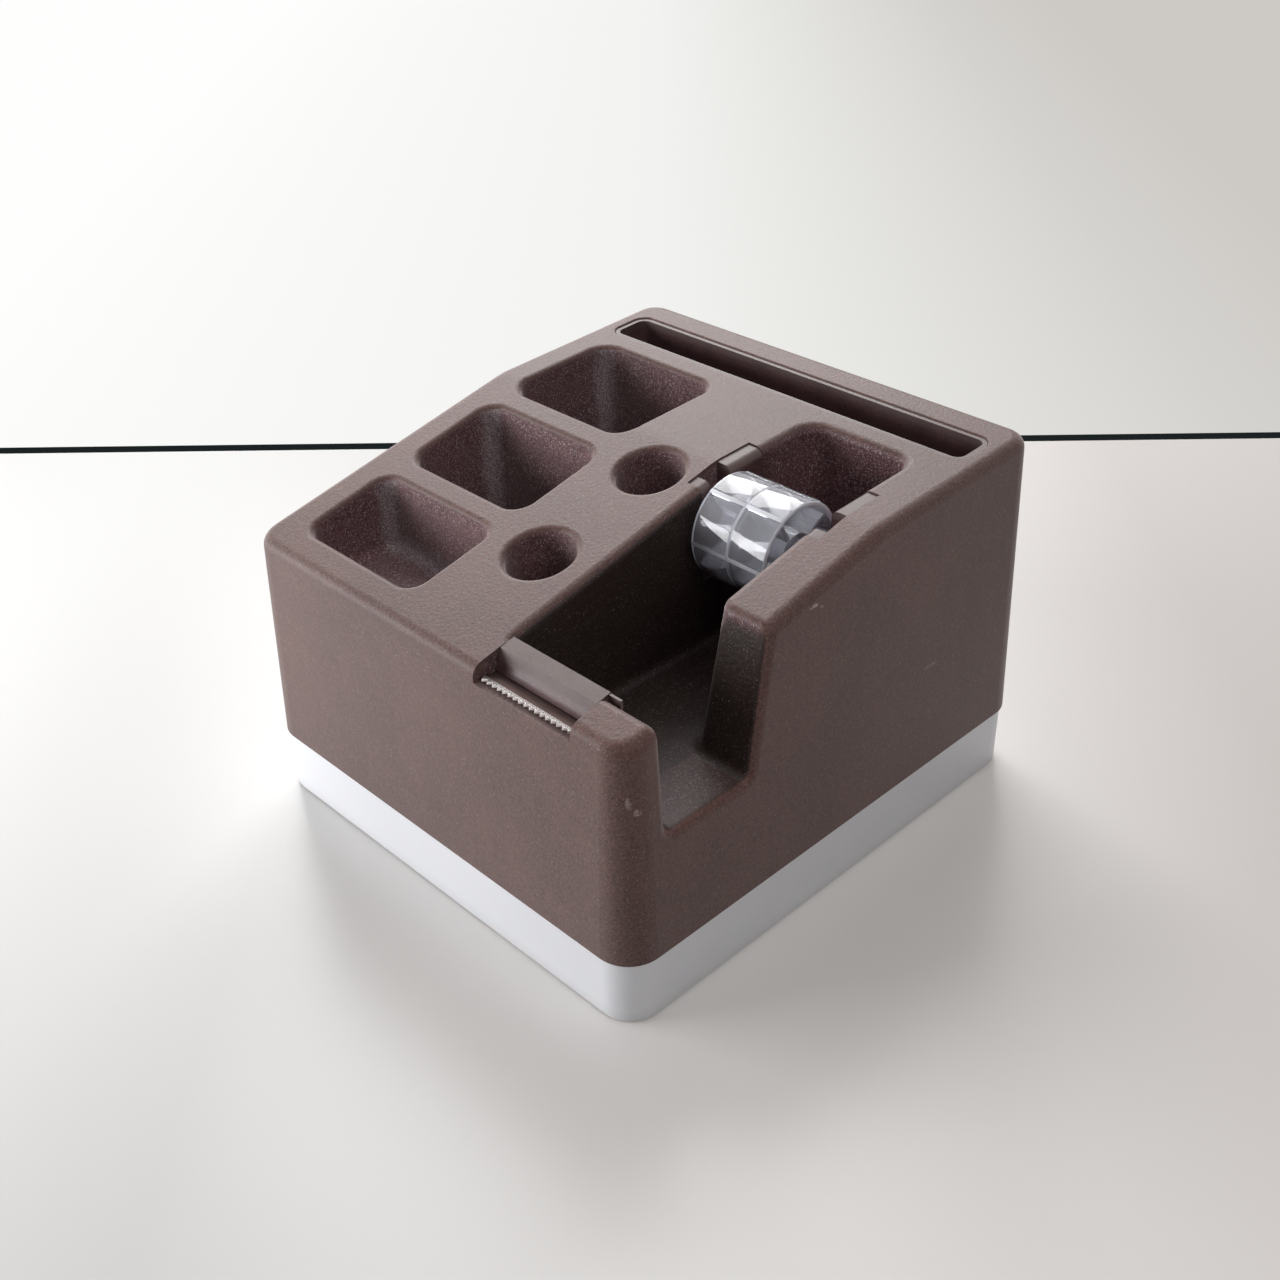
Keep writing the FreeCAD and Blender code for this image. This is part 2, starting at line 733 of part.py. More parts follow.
def slot_liner():
    """A long open box that stands on the chassis and shows as the rear slot."""
    body = new_body("liner_block")
    clear = "seat_clearance"
    sketch = new_sketch(body, "XY_Plane", "chassis_top")
    add_rounded_rectangle(sketch, "-slot_length / 2 + " + clear, "slot_length / 2 - " + clear,
                          "slot_start + " + clear, "slot_start + slot_width - " + clear,
                          "slot_corner - " + clear)
    pad(body, sketch, "block_top - chassis_top")
    hollow = new_sketch(body, "XY_Plane", "block_top")
    inset = "(%s + liner_wall)" % clear
    add_rounded_rectangle(hollow, "-slot_length / 2 + " + inset, "slot_length / 2 - " + inset,
                          "slot_start + " + inset, "slot_start + slot_width - " + inset,
                          "slot_corner - " + inset)
    pocket(body, hollow, "block_top - chassis_top - liner_wall")
    return cut("slot_liner", body, sky("liner_sky", "liner_drop"))


# ---------------------------------------------------------------- tape hub


def axle_cradle(label, inner, outer):
    """A block with a U notch for the axle; inner is its channel side."""
    left, right = (outer, inner) if value(outer) < value(inner) else (inner, outer)
    body = new_body(label + "_block")
    sketch = new_sketch(body, "YZ_Plane", left)
    clear = "seat_clearance"
    front = "axle_y - cradle_ahead + " + clear
    back = "axle_y + cradle_behind - " + clear
    add_rectangle(sketch, front, back, "cradle_bottom", "block_top")
    pad(body, sketch, "(%s) - (%s)" % (right, left))
    notch = new_sketch(body, "YZ_Plane", left)
    add_rectangle(notch, "axle_y - hub_bore_radius", "axle_y + hub_bore_radius", "axle_height", "block_top")
    pocket(body, notch, "(%s) - (%s)" % (right, left), up=True)
    seat = new_sketch(body, "YZ_Plane", left)
    add_circle(seat, "axle_y", "axle_height", "2 * hub_bore_radius")
    pocket(body, seat, "(%s) - (%s)" % (right, left), up=True)
    trimmed = cut(label + "_trimmed", body, sky(label + "_sky", "cradle_drop"))
    channel_side = value(inner)

    def shoulder(shape, edge):
        normals = face_normals(shape, edge)
        on_side = all(abs(vertex.X - channel_side) < 0.01 for vertex in edge.Vertexes)
        upward = [normal for normal in normals if normal.z > 0.9]
        high = edge_middle(edge).z > value("axle_height + axle_diameter / 2")
        return value("cradle_round") if on_side and upward and high and is_sharp(normals) else None

    return fillet(label, trimmed, shoulder)


def hub_axle():
    body = new_body("hub_axle")
    left = "channel_left - cradle_thickness + axle_end_gap"
    right = "channel_right + cradle_thickness - axle_end_gap"
    sketch = new_sketch(body, "XZ_Plane", "-(axle_y)")
    radius = "axle_diameter / 2"
    add_polygon(sketch, [
        (left, "axle_height"),
        (right, "axle_height"),
        (right, "axle_height + %s - axle_chamfer" % radius),
        ("%s - axle_chamfer" % right, "axle_height + " + radius),
        ("%s + axle_chamfer" % left, "axle_height + " + radius),
        (left, "axle_height + %s - axle_chamfer" % radius),
    ])
    revolve(body, sketch, "Edge1")
    return body


def hub_half(label, mid, out, pegged):
    """One half of the hub, made about the X axis and then set on the axle; mid and out are its two ends."""
    body = new_body(label)
    sign = 1 if value(out) > value(mid) else -1
    web = "(%s) + %d * hub_web" % (mid, sign)
    inset = "(%s) - %d * hub_spoke_inset" % (out, sign)
    ring_inner = "hub_ring_radius - hub_rim_wall"
    boss = "hub_bore_radius + hub_boss_wall"
    profile = new_sketch(body, "XZ_Plane")
    add_polygon(profile, [
        (mid, "hub_bore_radius"),
        (mid, "hub_ring_radius"),
        (out, "hub_ring_radius"),
        (out, ring_inner),
        (web, ring_inner),
        (web, boss),
        (inset, boss),
        (inset, "hub_bore_radius"),
    ])
    turn = body.newObject("PartDesign::Revolution", label + "_turn")
    turn.Profile = (profile, [""])
    turn.ReferenceAxis = (profile, ["H_Axis"])
    turn.Angle = 360
    doc.recompute()
    low, high = (mid, inset) if sign > 0 else (inset, mid)
    spoke = new_sketch(body, "YZ_Plane", low)
    add_rectangle(spoke, "hub_bore_radius + hub_boss_wall / 2", ring_inner + " + hub_rim_wall / 2",
                  "-hub_web / 2", "hub_web / 2")
    spoke_pad = pad(body, spoke, "(%s) - (%s)" % (high, low))
    polar_pattern(body, spoke_pad, "X_Axis", 4)
    low, high = (mid, out) if sign > 0 else (out, mid)
    rib = new_sketch(body, "YZ_Plane", low)
    add_rectangle(rib, "-hub_rib_width / 2", "hub_rib_width / 2", "hub_ring_radius - hub_rim_wall / 2",
                  "hub_diameter / 2")
    rib_pad = pad(body, rib, "(%s) - (%s)" % (high, low))
    polar_pattern(body, rib_pad, "X_Axis", 6)
    peg = new_sketch(body, "YZ_Plane", mid)
    angle = "45"
    peg_y = "hub_peg_circle / 2 * cos(%s)" % angle
    peg_z = "hub_peg_circle / 2 * sin(%s)" % angle
    if pegged:
        add_circle(peg, peg_y, peg_z, "hub_peg_diameter")
        peg_feature = pad(body, peg, "hub_peg_length", down=sign > 0)
    else:
        add_circle(peg, peg_y, peg_z, "hub_peg_diameter + 2 * running_clearance")
        peg_feature = pocket(body, peg, "hub_web", up=sign > 0)
    polar_pattern(body, peg_feature, "X_Axis", 2)
    place(body, "0", "axle_y", "axle_height")
    return body


# ---------------------------------------------------------------- cutter


def blade_top(y):
    """Height of the blade's upper face at y."""
    return "blade_tip_height - ((%s) - blade_tip_y) * tan(blade_tilt)" % y


def blade_holder():
    """A bar behind the blade and a shelf under it, with a slit between them for the blade's back edge."""
    ear_front = channel_front_at("lip_height") + " + seat_clearance"
    back = ear_front + " + holder_ear_thickness"
    bar_front = "(%s) - holder_bar_depth" % back
    foot = "(%s) - holder_bar_lean" % bar_front
    front = holder_front_y() + " + seat_clearance"
    slit_end = "blade_tip_y + blade_length * cos(blade_tilt) + seat_clearance"
    under = "blade_thickness / cos(blade_tilt)"
    body = new_body("blade_holder")
    sketch = new_sketch(body, "YZ_Plane", "channel_left + seat_clearance")
    add_polygon(sketch, [
        (front, "holder_seat"),
        (back, "holder_seat"),
        (back, top_z(back) + " - holder_top_drop"),
        (bar_front, top_z(bar_front) + " - holder_top_drop"),
        (foot, blade_top(foot) + " + seat_clearance"),
        (slit_end, blade_top(slit_end) + " + seat_clearance"),
        (slit_end, "%s - %s" % (blade_top(slit_end), under)),
        (front, "%s - %s" % (blade_top(front), under)),
    ])
    pad(body, sketch, "channel_width - 2 * seat_clearance")
    ear = new_sketch(body, "XZ_Plane", "-(%s)" % ear_front)
    add_rectangle(ear, "channel_right - holder_ear_length", "channel_right + holder_ear_length",
                  "lip_height + seat_clearance", "lip_height + seat_clearance + holder_ear_height")
    pad(body, ear, "holder_ear_thickness", down=True)
    return body


def cutter_blade():
    """The blade in its own flat frame, teeth towards -Y, then tilted and set on the holder's shelf."""
    body = new_body("cutter_blade")
    plate = new_sketch(body, "XY_Plane")
    add_rectangle(plate, "-blade_width / 2", "blade_width / 2", "tooth_height", "blade_length")
    pad(body, plate, "blade_thickness")
    tooth = new_sketch(body, "XY_Plane")
    start = "-tooth_count * tooth_pitch / 2"
    add_polygon(tooth, [
        (start, "tooth_height"),
        (start + " + tooth_pitch / 2", "0"),
        (start + " + tooth_pitch", "tooth_height"),
    ])
    tooth_pad = pad(body, tooth, "blade_thickness")
    row = body.newObject("PartDesign::LinearPattern", "tooth_row")
    row.Originals = [tooth_pad]
    row.Direction = (plate, ["H_Axis"])
    row.setExpression("Length", s("(tooth_count - 1) * tooth_pitch"))
    row.Occurrences = int(value("tooth_count"))
    body.Tip = row
    body.Placement = Placement(Vector(0, 0, 0), Rotation(Vector(1, 0, 0), -value("blade_tilt")))
    place(body, "channel_middle", "blade_tip_y - blade_thickness * sin(blade_tilt)",
          "blade_tip_height - blade_thickness * cos(blade_tilt)")
    body.setExpression("Placement.Rotation.Angle", s("-blade_tilt"))
    doc.recompute()
    return body


# ---------------------------------------------------------------- chassis, ballast and screws


BALLAST_SCREWS = [("left", "-ballast_screw_spacing / 2", "ballast_y"),
                  ("right", "ballast_screw_spacing / 2", "ballast_y")]
RAIL_ROWS = [("front", "rail_start + rail_screw_inset"), ("rear", "rail_end - rail_screw_inset")]
RAIL_SIDES = [("left", -1), ("right", 1)]


def chassis_screw_places():
    return [(name, "%d * boss_x" % side, "%d * boss_y" % end) for name, side, end in BOSSES]


def rail_screw_places():
    return [("%s_%s" % (row, side), "%d * rail_screw_x" % sign, y)
            for row, y in RAIL_ROWS for side, sign in RAIL_SIDES]


def cone(label, x, y, bottom, height, lower, upper):
    item = doc.addObject("Part::Cone", label)
    item.setExpression("Radius1", s("(%s) / 2" % lower))
    item.setExpression("Radius2", s("(%s) / 2" % upper))
    item.setExpression("Height", s(height))
    place(item, x, y, bottom)
    return item


def socket(label, x, y, bottom, depth):
    item = doc.addObject("Part::Prism", label)
    item.Polygon = 6
    item.setExpression("Circumradius", s("screw_socket / 2"))
    item.setExpression("Height", s(depth))
    place(item, x, y, bottom)
    return item


def countersunk_screws(label, places, length):
    """Screws driven upward from the chassis' underside, with their heads flush in it."""
    solids = []
    sockets = []
    for name, x, y in places:
        full = "%s_%s" % (label, name)
        solids.append(cone(full + "_head", x, y, "chassis_bottom", "screw_head_height",
                           "screw_head_diameter", "screw_diameter"))
        solids.append(cylinder(full + "_shank", x, y, "chassis_bottom", "chassis_bottom + " + length,
                               "screw_diameter"))
        sockets.append(socket(full + "_socket", x, y, "chassis_bottom - screw_socket", "1.4 * screw_socket"))
    doc.recompute()
    return cut(label, fuse(label + "_bodies", solids), fuse(label + "_sockets", sockets))


def rail_screws():
    """Screws driven downward through the chassis into the rails."""
    solids = []
    sockets = []
    for name, x, y in rail_screw_places():
        full = "rail_screw_" + name
        solids.append(cylinder(full + "_head", x, y, "chassis_top", "chassis_top + screw_head_height",
                               "screw_head_diameter"))
        solids.append(cylinder(full + "_shank", x, y, "chassis_top - rail_screw_length", "chassis_top",
                               "screw_diameter"))
        sockets.append(socket(full + "_socket", x, y, "chassis_top + screw_head_height / 3",
                              "screw_head_height"))
    doc.recompute()
    return cut("rail_screws", fuse("rail_screw_bodies", solids), fuse("rail_screw_sockets", sockets))


def chassis_plate():
    body = new_body("chassis_slab")
    inset = "(shell_wall + chassis_gap)"
    sketch = new_sketch(body, "XY_Plane", "chassis_bottom")
    add_rounded_rectangle(sketch, "-body_width / 2 + " + inset, "body_width / 2 - " + inset,
                          "-body_depth / 2 + " + inset, "body_depth / 2 - " + inset,
                          "corner_radius - " + inset)
    pad(body, sketch, "chassis_thickness")
    tools = []
    for name, x, y in chassis_screw_places() + BALLAST_SCREWS:
        grow = "screw_clearance_hole - screw_diameter"
        tools.append(cone("chassis_sink_" + name, x, y, "chassis_bottom", "screw_head_height",
                          "screw_head_diameter + " + grow, "screw_clearance_hole"))
    for name, x, y in chassis_screw_places() + BALLAST_SCREWS + rail_screw_places():
        tools.append(cylinder("chassis_hole_" + name, x, y, "chassis_bottom", "chassis_top",
                              "screw_clearance_hole"))
    doc.recompute()
    return cut("chassis_plate", body, fuse("chassis_holes", tools))


def ballast_plate():
    body = new_body("ballast_plate")
    sketch = new_sketch(body, "XY_Plane", "chassis_top")
    add_rounded_rectangle(sketch, "-ballast_width / 2", "ballast_width / 2",
                          "ballast_y - ballast_length / 2", "ballast_y + ballast_length / 2",
                          "ballast_corner")
    pad(body, sketch, "ballast_thickness")
    holes = new_sketch(body, "XY_Plane", "chassis_top")
    for _, x, y in BALLAST_SCREWS:
        add_circle(holes, x, y, "screw_diameter + 2 * running_clearance")
    pocket(body, holes, "ballast_thickness", up=True)
    return body


# ---------------------------------------------------------------- drawer tray, rails and feet


def slide_rail(side, sign):
    """A hooked rail under the chassis; its foot runs below the tray's side lip.

    Its base is longer than its foot, and the base's two ends stop the tray's end walls.
    """
    label = "slide_rail_" + side
    body = new_body(label)
    sketch = new_sketch(body, "XZ_Plane", "-rail_start")
    corners = [
        ("rail_base_inner", "chassis_bottom"),
        ("rail_base_inner", "rail_base_bottom"),
        ("rail_web_inner", "rail_base_bottom"),
        ("rail_web_inner", "rail_foot_bottom"),
        ("rail_foot_outer", "rail_foot_bottom"),
        ("rail_foot_outer", "rail_foot_top"),
        ("rail_web_outer", "rail_foot_top"),
        ("rail_web_outer", "chassis_bottom"),
    ]
    add_polygon(sketch, [("%d * %s" % (sign, x), z) for x, z in corners])
    pad(body, sketch, "rail_end - rail_start", down=True)
    stop = new_sketch(body, "XY_Plane", "rail_base_bottom")
    stop_sides = sorted(["%d * rail_base_inner" % sign, "%d * (rail_base_inner + rail_stop_width)" % sign],
                        key=value)
    add_rectangle(stop, stop_sides[0], stop_sides[1], "stop_start", "stop_end")
    pad(body, stop, "rail_thickness")
    bosses = new_sketch(body, "XY_Plane", "rail_base_bottom")
    holes = new_sketch(body, "XY_Plane", "chassis_bottom")
    for _, y in RAIL_ROWS:
        add_circle(bosses, "%d * rail_screw_x" % sign, y, "rail_boss_diameter")
        add_circle(holes, "%d * rail_screw_x" % sign, y, "screw_diameter + 2 * running_clearance")
    pad(body, bosses, "rail_boss_height", down=True)
    pocket(body, holes, "rail_thickness + rail_boss_height")
    return body


FEET = [("front_left", -1, -1), ("front_right", 1, -1), ("rear_left", -1, 1), ("rear_right", 1, 1)]


def drawer_tray():
    """An open tray whose side walls carry inward lips that hang on the rails."""
    body = new_body("tray_block")
    outer = new_sketch(body, "XY_Plane", "tray_clear_of_desk")
    add_rounded_rectangle(outer, "-tray_half_width", "tray_half_width", "-tray_half_depth",
                          "tray_half_depth", "corner_radius - tray_inset")
    pad(body, outer, "tray_top - tray_clear_of_desk")
    mouth = new_sketch(body, "XY_Plane", "tray_top")
    lip = "(tray_inner_half_width - lip_reach)"
    add_rounded_rectangle(mouth, "-" + lip, lip, "-tray_inner_half_depth", "tray_inner_half_depth",
                          "tray_inner_corner - lip_reach / 2")
    pocket(body, mouth, "tray_top - tray_clear_of_desk - tray_floor")
    under = new_sketch(body, "XY_Plane", "tray_top - tray_lip_thickness")
    add_rounded_rectangle(under, "-tray_inner_half_width", "tray_inner_half_width", "-tray_inner_half_depth",
                          "tray_inner_half_depth", "tray_inner_corner")
    pocket(body, under, "tray_top - tray_lip_thickness - tray_clear_of_desk - tray_floor")
    sockets = new_sketch(body, "XY_Plane", "tray_clear_of_desk")
    for _, side, end in FEET:
        add_circle(sockets, "%d * foot_x" % side, "%d * foot_y" % end, "foot_diameter + 2 * foot_clearance")
    pocket(body, sockets, "foot_thickness - tray_clear_of_desk", up=True)
    levels = [value("tray_clear_of_desk"), value("tray_top")]
    half_width = value("tray_half_width")
    half_depth = value("tray_half_depth")

    def outer_edge(shape, edge):
        middle = edge_middle(edge)
        level = any(all(abs(vertex.Z - height) < 0.01 for vertex in edge.Vertexes) for height in levels)
        corner = abs(middle.x) + abs(middle.y) > half_width + half_depth - 8
        flank = abs(middle.x) > half_width - 0.5 or abs(middle.y) > half_depth - 0.5
        return value("tray_edge_round") if level and (flank or corner) else None

    return fillet("drawer_tray", body, outer_edge)


def foot(name, side, end):
    item = cylinder("foot_" + name, "%d * foot_x" % side, "%d * foot_y" % end, "0", "foot_thickness",
                    "foot_diameter")
    doc.recompute()
    return item


def finish():
    doc.recompute()
    for item in doc.Objects:
        bad = [state for state in item.State if state in ("Invalid", "Error")]
        require(not bad, "%s is %s" % (item.Label, bad))
    os.makedirs("parts", exist_ok=True)
    for item in PARTS:
        shape = item.Shape
        require(not shape.isNull() and shape.isValid(), item.Label + " has a faulty shape")
        shape.exportStep("parts/%s.step" % item.Label)
        box_of = shape.BoundBox
        print("%-22s %d solid(s) %9.1f mm3  x %.2f..%.2f y %.2f..%.2f z %.2f..%.2f" % (
            item.Label, len(shape.Solids), shape.Volume, box_of.XMin, box_of.XMax,
            box_of.YMin, box_of.YMax, box_of.ZMin, box_of.ZMax))


fill_sheet()
PARTS = [
    body_shell(),
    slot_liner(),
    axle_cradle("axle_cradle_left", "channel_left", "channel_left - cradle_thickness"),
    axle_cradle("axle_cradle_right", "channel_right", "channel_right + cradle_thickness"),
    hub_axle(),
    hub_half("hub_half_left", "hub_middle", "hub_left", True),
    hub_half("hub_half_right", "hub_middle", "hub_right", False),
    blade_holder(),
    cutter_blade(),
    chassis_plate(),
    countersunk_screws("chassis_screws", chassis_screw_places(), "chassis_screw_length"),
    ballast_plate(),
    countersunk_screws("ballast_screws", BALLAST_SCREWS, "ballast_screw_length"),
    rail_screws(),
    slide_rail("left", -1),
    slide_rail("right", 1),
    drawer_tray(),
]
PARTS += [foot(*row) for row in FEET]
finish()
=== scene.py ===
import json
import math

import bmesh
import bpy
from mathutils import Matrix, Vector


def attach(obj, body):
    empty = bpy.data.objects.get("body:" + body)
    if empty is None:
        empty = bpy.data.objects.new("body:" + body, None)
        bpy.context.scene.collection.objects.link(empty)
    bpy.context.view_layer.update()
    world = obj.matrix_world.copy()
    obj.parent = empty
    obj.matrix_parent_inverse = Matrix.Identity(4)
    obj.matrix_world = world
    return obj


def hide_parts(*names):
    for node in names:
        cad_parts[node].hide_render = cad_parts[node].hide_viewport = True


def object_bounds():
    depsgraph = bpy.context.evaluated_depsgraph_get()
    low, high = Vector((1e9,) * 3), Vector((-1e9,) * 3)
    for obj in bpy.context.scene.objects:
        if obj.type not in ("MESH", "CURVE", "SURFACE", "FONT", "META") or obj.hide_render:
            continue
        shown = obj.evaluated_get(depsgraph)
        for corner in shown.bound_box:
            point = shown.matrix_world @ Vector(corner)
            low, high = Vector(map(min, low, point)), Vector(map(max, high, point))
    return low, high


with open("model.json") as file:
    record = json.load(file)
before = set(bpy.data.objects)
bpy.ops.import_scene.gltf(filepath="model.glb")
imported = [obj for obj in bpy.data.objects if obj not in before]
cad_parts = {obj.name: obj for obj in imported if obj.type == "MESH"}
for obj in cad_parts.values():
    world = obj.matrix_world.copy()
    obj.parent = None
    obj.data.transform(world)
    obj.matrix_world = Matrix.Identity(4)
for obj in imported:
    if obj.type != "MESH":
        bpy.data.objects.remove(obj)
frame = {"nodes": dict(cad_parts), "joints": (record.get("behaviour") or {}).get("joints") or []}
cad_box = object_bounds()
scene = bpy.context.scene
scene.view_settings.view_transform = "Standard"


# ---------------------------------------------------------------- materials

class Finish:
    """A node-based material under construction; its helpers return output sockets."""

    def __init__(self, name):
        self.material = bpy.data.materials.new(name)
        self.material.use_nodes = True
        self.tree = self.material.node_tree
        self.tree.nodes.clear()
        self.shader = self.tree.nodes.new("ShaderNodeBsdfPrincipled")
        self.output = self.tree.nodes.new("ShaderNodeOutputMaterial")
        self.tree.links.new(self.shader.outputs[0], self.output.inputs[0])
        self.place = self.tree.nodes.new("ShaderNodeTexCoord").outputs["Object"]

    def set(self, **values):
        for key, value in values.items():
            self.link(self.shader, key.replace("_", " "), value)

    def link(self, node, key, value):
        """Joins a socket to the node's input, or writes a plain number or colour there."""
        socket = node.inputs[key]
        if isinstance(value, bpy.types.NodeSocket):
            self.tree.links.new(value, socket)
        elif isinstance(value, tuple) and len(value) == 3 and socket.type == "RGBA":
            socket.default_value = (*value, 1)
        else:
            socket.default_value = value

    def noise(self, scale, detail=2.0, roughness=0.5, at=None, distortion=0.0):
        node = self.tree.nodes.new("ShaderNodeTexNoise")
        self.link(node, "Vector", at or self.place)
        node.inputs["Scale"].default_value = scale
        node.inputs["Detail"].default_value = detail
        node.inputs["Roughness"].default_value = roughness
        node.inputs["Distortion"].default_value = distortion
        return node.outputs["Fac"]

    def cells(self, scale):
        node = self.tree.nodes.new("ShaderNodeTexVoronoi")
        self.link(node, "Vector", self.place)
        node.inputs["Scale"].default_value = scale
        return node.outputs["Distance"]

    def stretched(self, x, y, z):
        node = self.tree.nodes.new("ShaderNodeMapping")
        self.link(node, "Vector", self.place)
        node.inputs["Scale"].default_value = (x, y, z)
        return node.outputs[0]

    def parts(self, vector=None):
        node = self.tree.nodes.new("ShaderNodeSeparateXYZ")
        self.link(node, 0, vector or self.place)
        return node.outputs

    def ramp(self, value, *stops):
        node = self.tree.nodes.new("ShaderNodeValToRGB")
        self.link(node, 0, value)
        marks = node.color_ramp.elements
        while len(marks) < len(stops):
            marks.new(0.5)
        for mark, (position, colour) in zip(marks, stops):
            mark.position = position
            mark.color = (*colour, 1)
        return node.outputs[0]

    def math(self, kind, a, b=0.0, c=0.0, clamp=False):
        node = self.tree.nodes.new("ShaderNodeMath")
        node.operation = kind
        node.use_clamp = clamp
        for index, value in enumerate((a, b, c)):
            self.link(node, index, value)
        return node.outputs[0]

    def span(self, value, low, high, out_low=0.0, out_high=1.0, smooth=True):
        node = self.tree.nodes.new("ShaderNodeMapRange")
        node.interpolation_type = "SMOOTHSTEP" if smooth else "LINEAR"
        for index, item in enumerate((value, low, high, out_low, out_high)):
            self.link(node, index, item)
        return node.outputs[0]

    def mix(self, factor, a, b):
        node = self.tree.nodes.new("ShaderNodeMix")
        node.data_type = "RGBA"
        self.link(node, 0, factor)
        self.link(node, 6, a)
        self.link(node, 7, b)
        return node.outputs[2]

    def face_normal(self):
        return self.tree.nodes.new("ShaderNodeTexCoord").outputs["Normal"]

    def bump(self, height, strength, distance):
        node = self.tree.nodes.new("ShaderNodeBump")
        self.link(node, "Height", height)
        self.link(node, "Strength", strength)
        node.inputs["Distance"].default_value = distance
        return node.outputs[0]

    def emission(self, colour):
        node = self.tree.nodes.new("ShaderNodeEmission")
        self.link(node, "Color", colour)
        return node.outputs[0]

    def either(self, factor, a, b):
        """Shader a where the factor is 0 and shader b where it is 1."""
        node = self.tree.nodes.new("ShaderNodeMixShader")
        for index, item in enumerate((factor, a, b)):
            self.link(node, index, item)
        return node.outputs[0]


# The housing: its outer walls lean in by the draft, and its top slopes up to a bend and then less.
HALF_WIDTH = cad_box[1][0]
REAR_FACE = cad_box[1][1]
FRONT_FACE = cad_box[0][1]
FOOT_HEIGHT = 0.0169
WALL_DRAFT = 0.0349
FRONT_HEIGHT = 0.0700
FRONT_RISE = math.tan(math.radians(12.7))
REAR_RISE = math.tan(math.radians(2.9))
BEND_FROM_FRONT = 0.0779
BEND_Y = FRONT_FACE + BEND_FROM_FRONT
BEND_Z = FRONT_HEIGHT + BEND_FROM_FRONT * FRONT_RISE

# The tape channel: its walls, floor and ends, and the ends of its side opening. Masks reach a little further.
CHANNEL_LEFT, CHANNEL_RIGHT = 0.0184, 0.0472
CHANNEL_FLOOR = 0.0460
CHANNEL_FRONT, CHANNEL_REAR = -0.0560, 0.0380
# The tape channel's painted shade fades out towards here, at its rear end.
CHANNEL_PAINTED_SHADE_END = 0.0200
MASK_REACH = 0.0006
OPENING_FRONT, OPENING_REAR = -0.0590, -0.0250
OPENING_INNER = 0.0400


def below_top(f):
    """Depth under the housing's sloped top, in metres."""
    x, y, z = f.parts()
    ahead = f.math("SUBTRACT", y, BEND_Y)
    front = f.math("MULTIPLY_ADD", ahead, FRONT_RISE, BEND_Z)
    rear = f.math("MULTIPLY_ADD", ahead, REAR_RISE, BEND_Z)
    return f.math("SUBTRACT", f.math("MINIMUM", front, rear), z)


def inside_walls(f, margin):
    """1 where a point is inside the outer walls by the margin, which follows their draft, and 0 on them."""
    x, y, z = f.parts()
    lean = f.math("MULTIPLY", f.math("SUBTRACT", z, FOOT_HEIGHT), WALL_DRAFT)
    sides = [f.span(f.math("ADD", f.math("ABSOLUTE", value), lean),
                    limit - margin - MASK_REACH, limit - margin, 1.0, 0.0)
             for value, limit in ((x, HALF_WIDTH), (y, REAR_FACE))]
    return f.math("MULTIPLY", *sides)


def within(f, value, low, high, soft):
    """1 where the value lies between low and high, with soft ends."""
    up = f.span(value, low - soft, low + soft)
    down = f.span(value, high - soft, high + soft, 1.0, 0.0)
    return f.math("MULTIPLY", up, down)


# Each scuff's middle, its half sizes and how strong it is.
SCUFFS = (((0.0620, -0.0118, 0.0790), (0.0022, 0.0019, 0.0006), 0.9),
          ((0.0622, -0.0095, 0.0778), (0.0022, 0.0010, 0.0005), 0.7),
          ((0.0619, -0.0640, 0.0580), (0.0025, 0.0008, 0.0022), 0.5),
          ((0.0617, -0.0625, 0.0555), (0.0025, 0.0010, 0.0010), 0.5),
          ((0.0600, 0.0300, 0.0450), (0.0040, 0.0050, 0.0009), 0.25))


def scuffs(f):
    """Short pale rub marks at a few places on the right wall and the front post."""
    total = None
    torn = f.span(f.noise(1100, 2.0, 0.6), 0.40, 0.58)
    for centre, size, amount in SCUFFS:
        squares = None
        for value, middle, reach in zip(f.parts(), centre, size):
            share = f.math("DIVIDE", f.math("SUBTRACT", value, middle), reach)
            part = f.math("MULTIPLY", share, share)
            squares = part if squares is None else f.math("ADD", squares, part)
        mark = f.math("MULTIPLY", f.span(squares, 0.35, 1.0, amount, 0.0), torn)
        total = mark if total is None else f.math("MAXIMUM", total, mark)
    return total


# Left wall, rear wall and floor of the front, middle and rear pockets.
POCKET_CORNERS = ((-0.0505, -0.0348, 0.0600), (-0.0500, -0.0028, 0.0415), (-0.0494, 0.0354, 0.0272))
POCKETS_LEFT, POCKETS_RIGHT = -0.0530, -0.0120


def corner_painted_highlight(f):
    """Painted highlight: pale lavender specks in the pockets' far left corners and along the foot of their
    rear walls, for light caught in the rounded inner corners.
    """
    x, y, z = f.parts()
    total = None
    for corner in POCKET_CORNERS:
        off = [f.math("SUBTRACT", value, wall) for value, wall in zip((x, y, z), corner)]
        left, rear, floor = [f.math("MULTIPLY", item, item) for item in off]
        near = f.math("SQRT", f.math("MINIMUM", f.math("ADD", left, rear), f.math("ADD", floor, rear)))
        total = near if total is None else f.math("MINIMUM", total, near)
    reach = f.math("MULTIPLY_ADD", f.noise(260, 3.0, 0.6), 0.0030, total)
    across = within(f, x, POCKETS_LEFT, POCKETS_RIGHT, 0.0005)
    return f.math("MULTIPLY", f.span(reach, 0.0022, 0.0056, 1.0, 0.0), across)
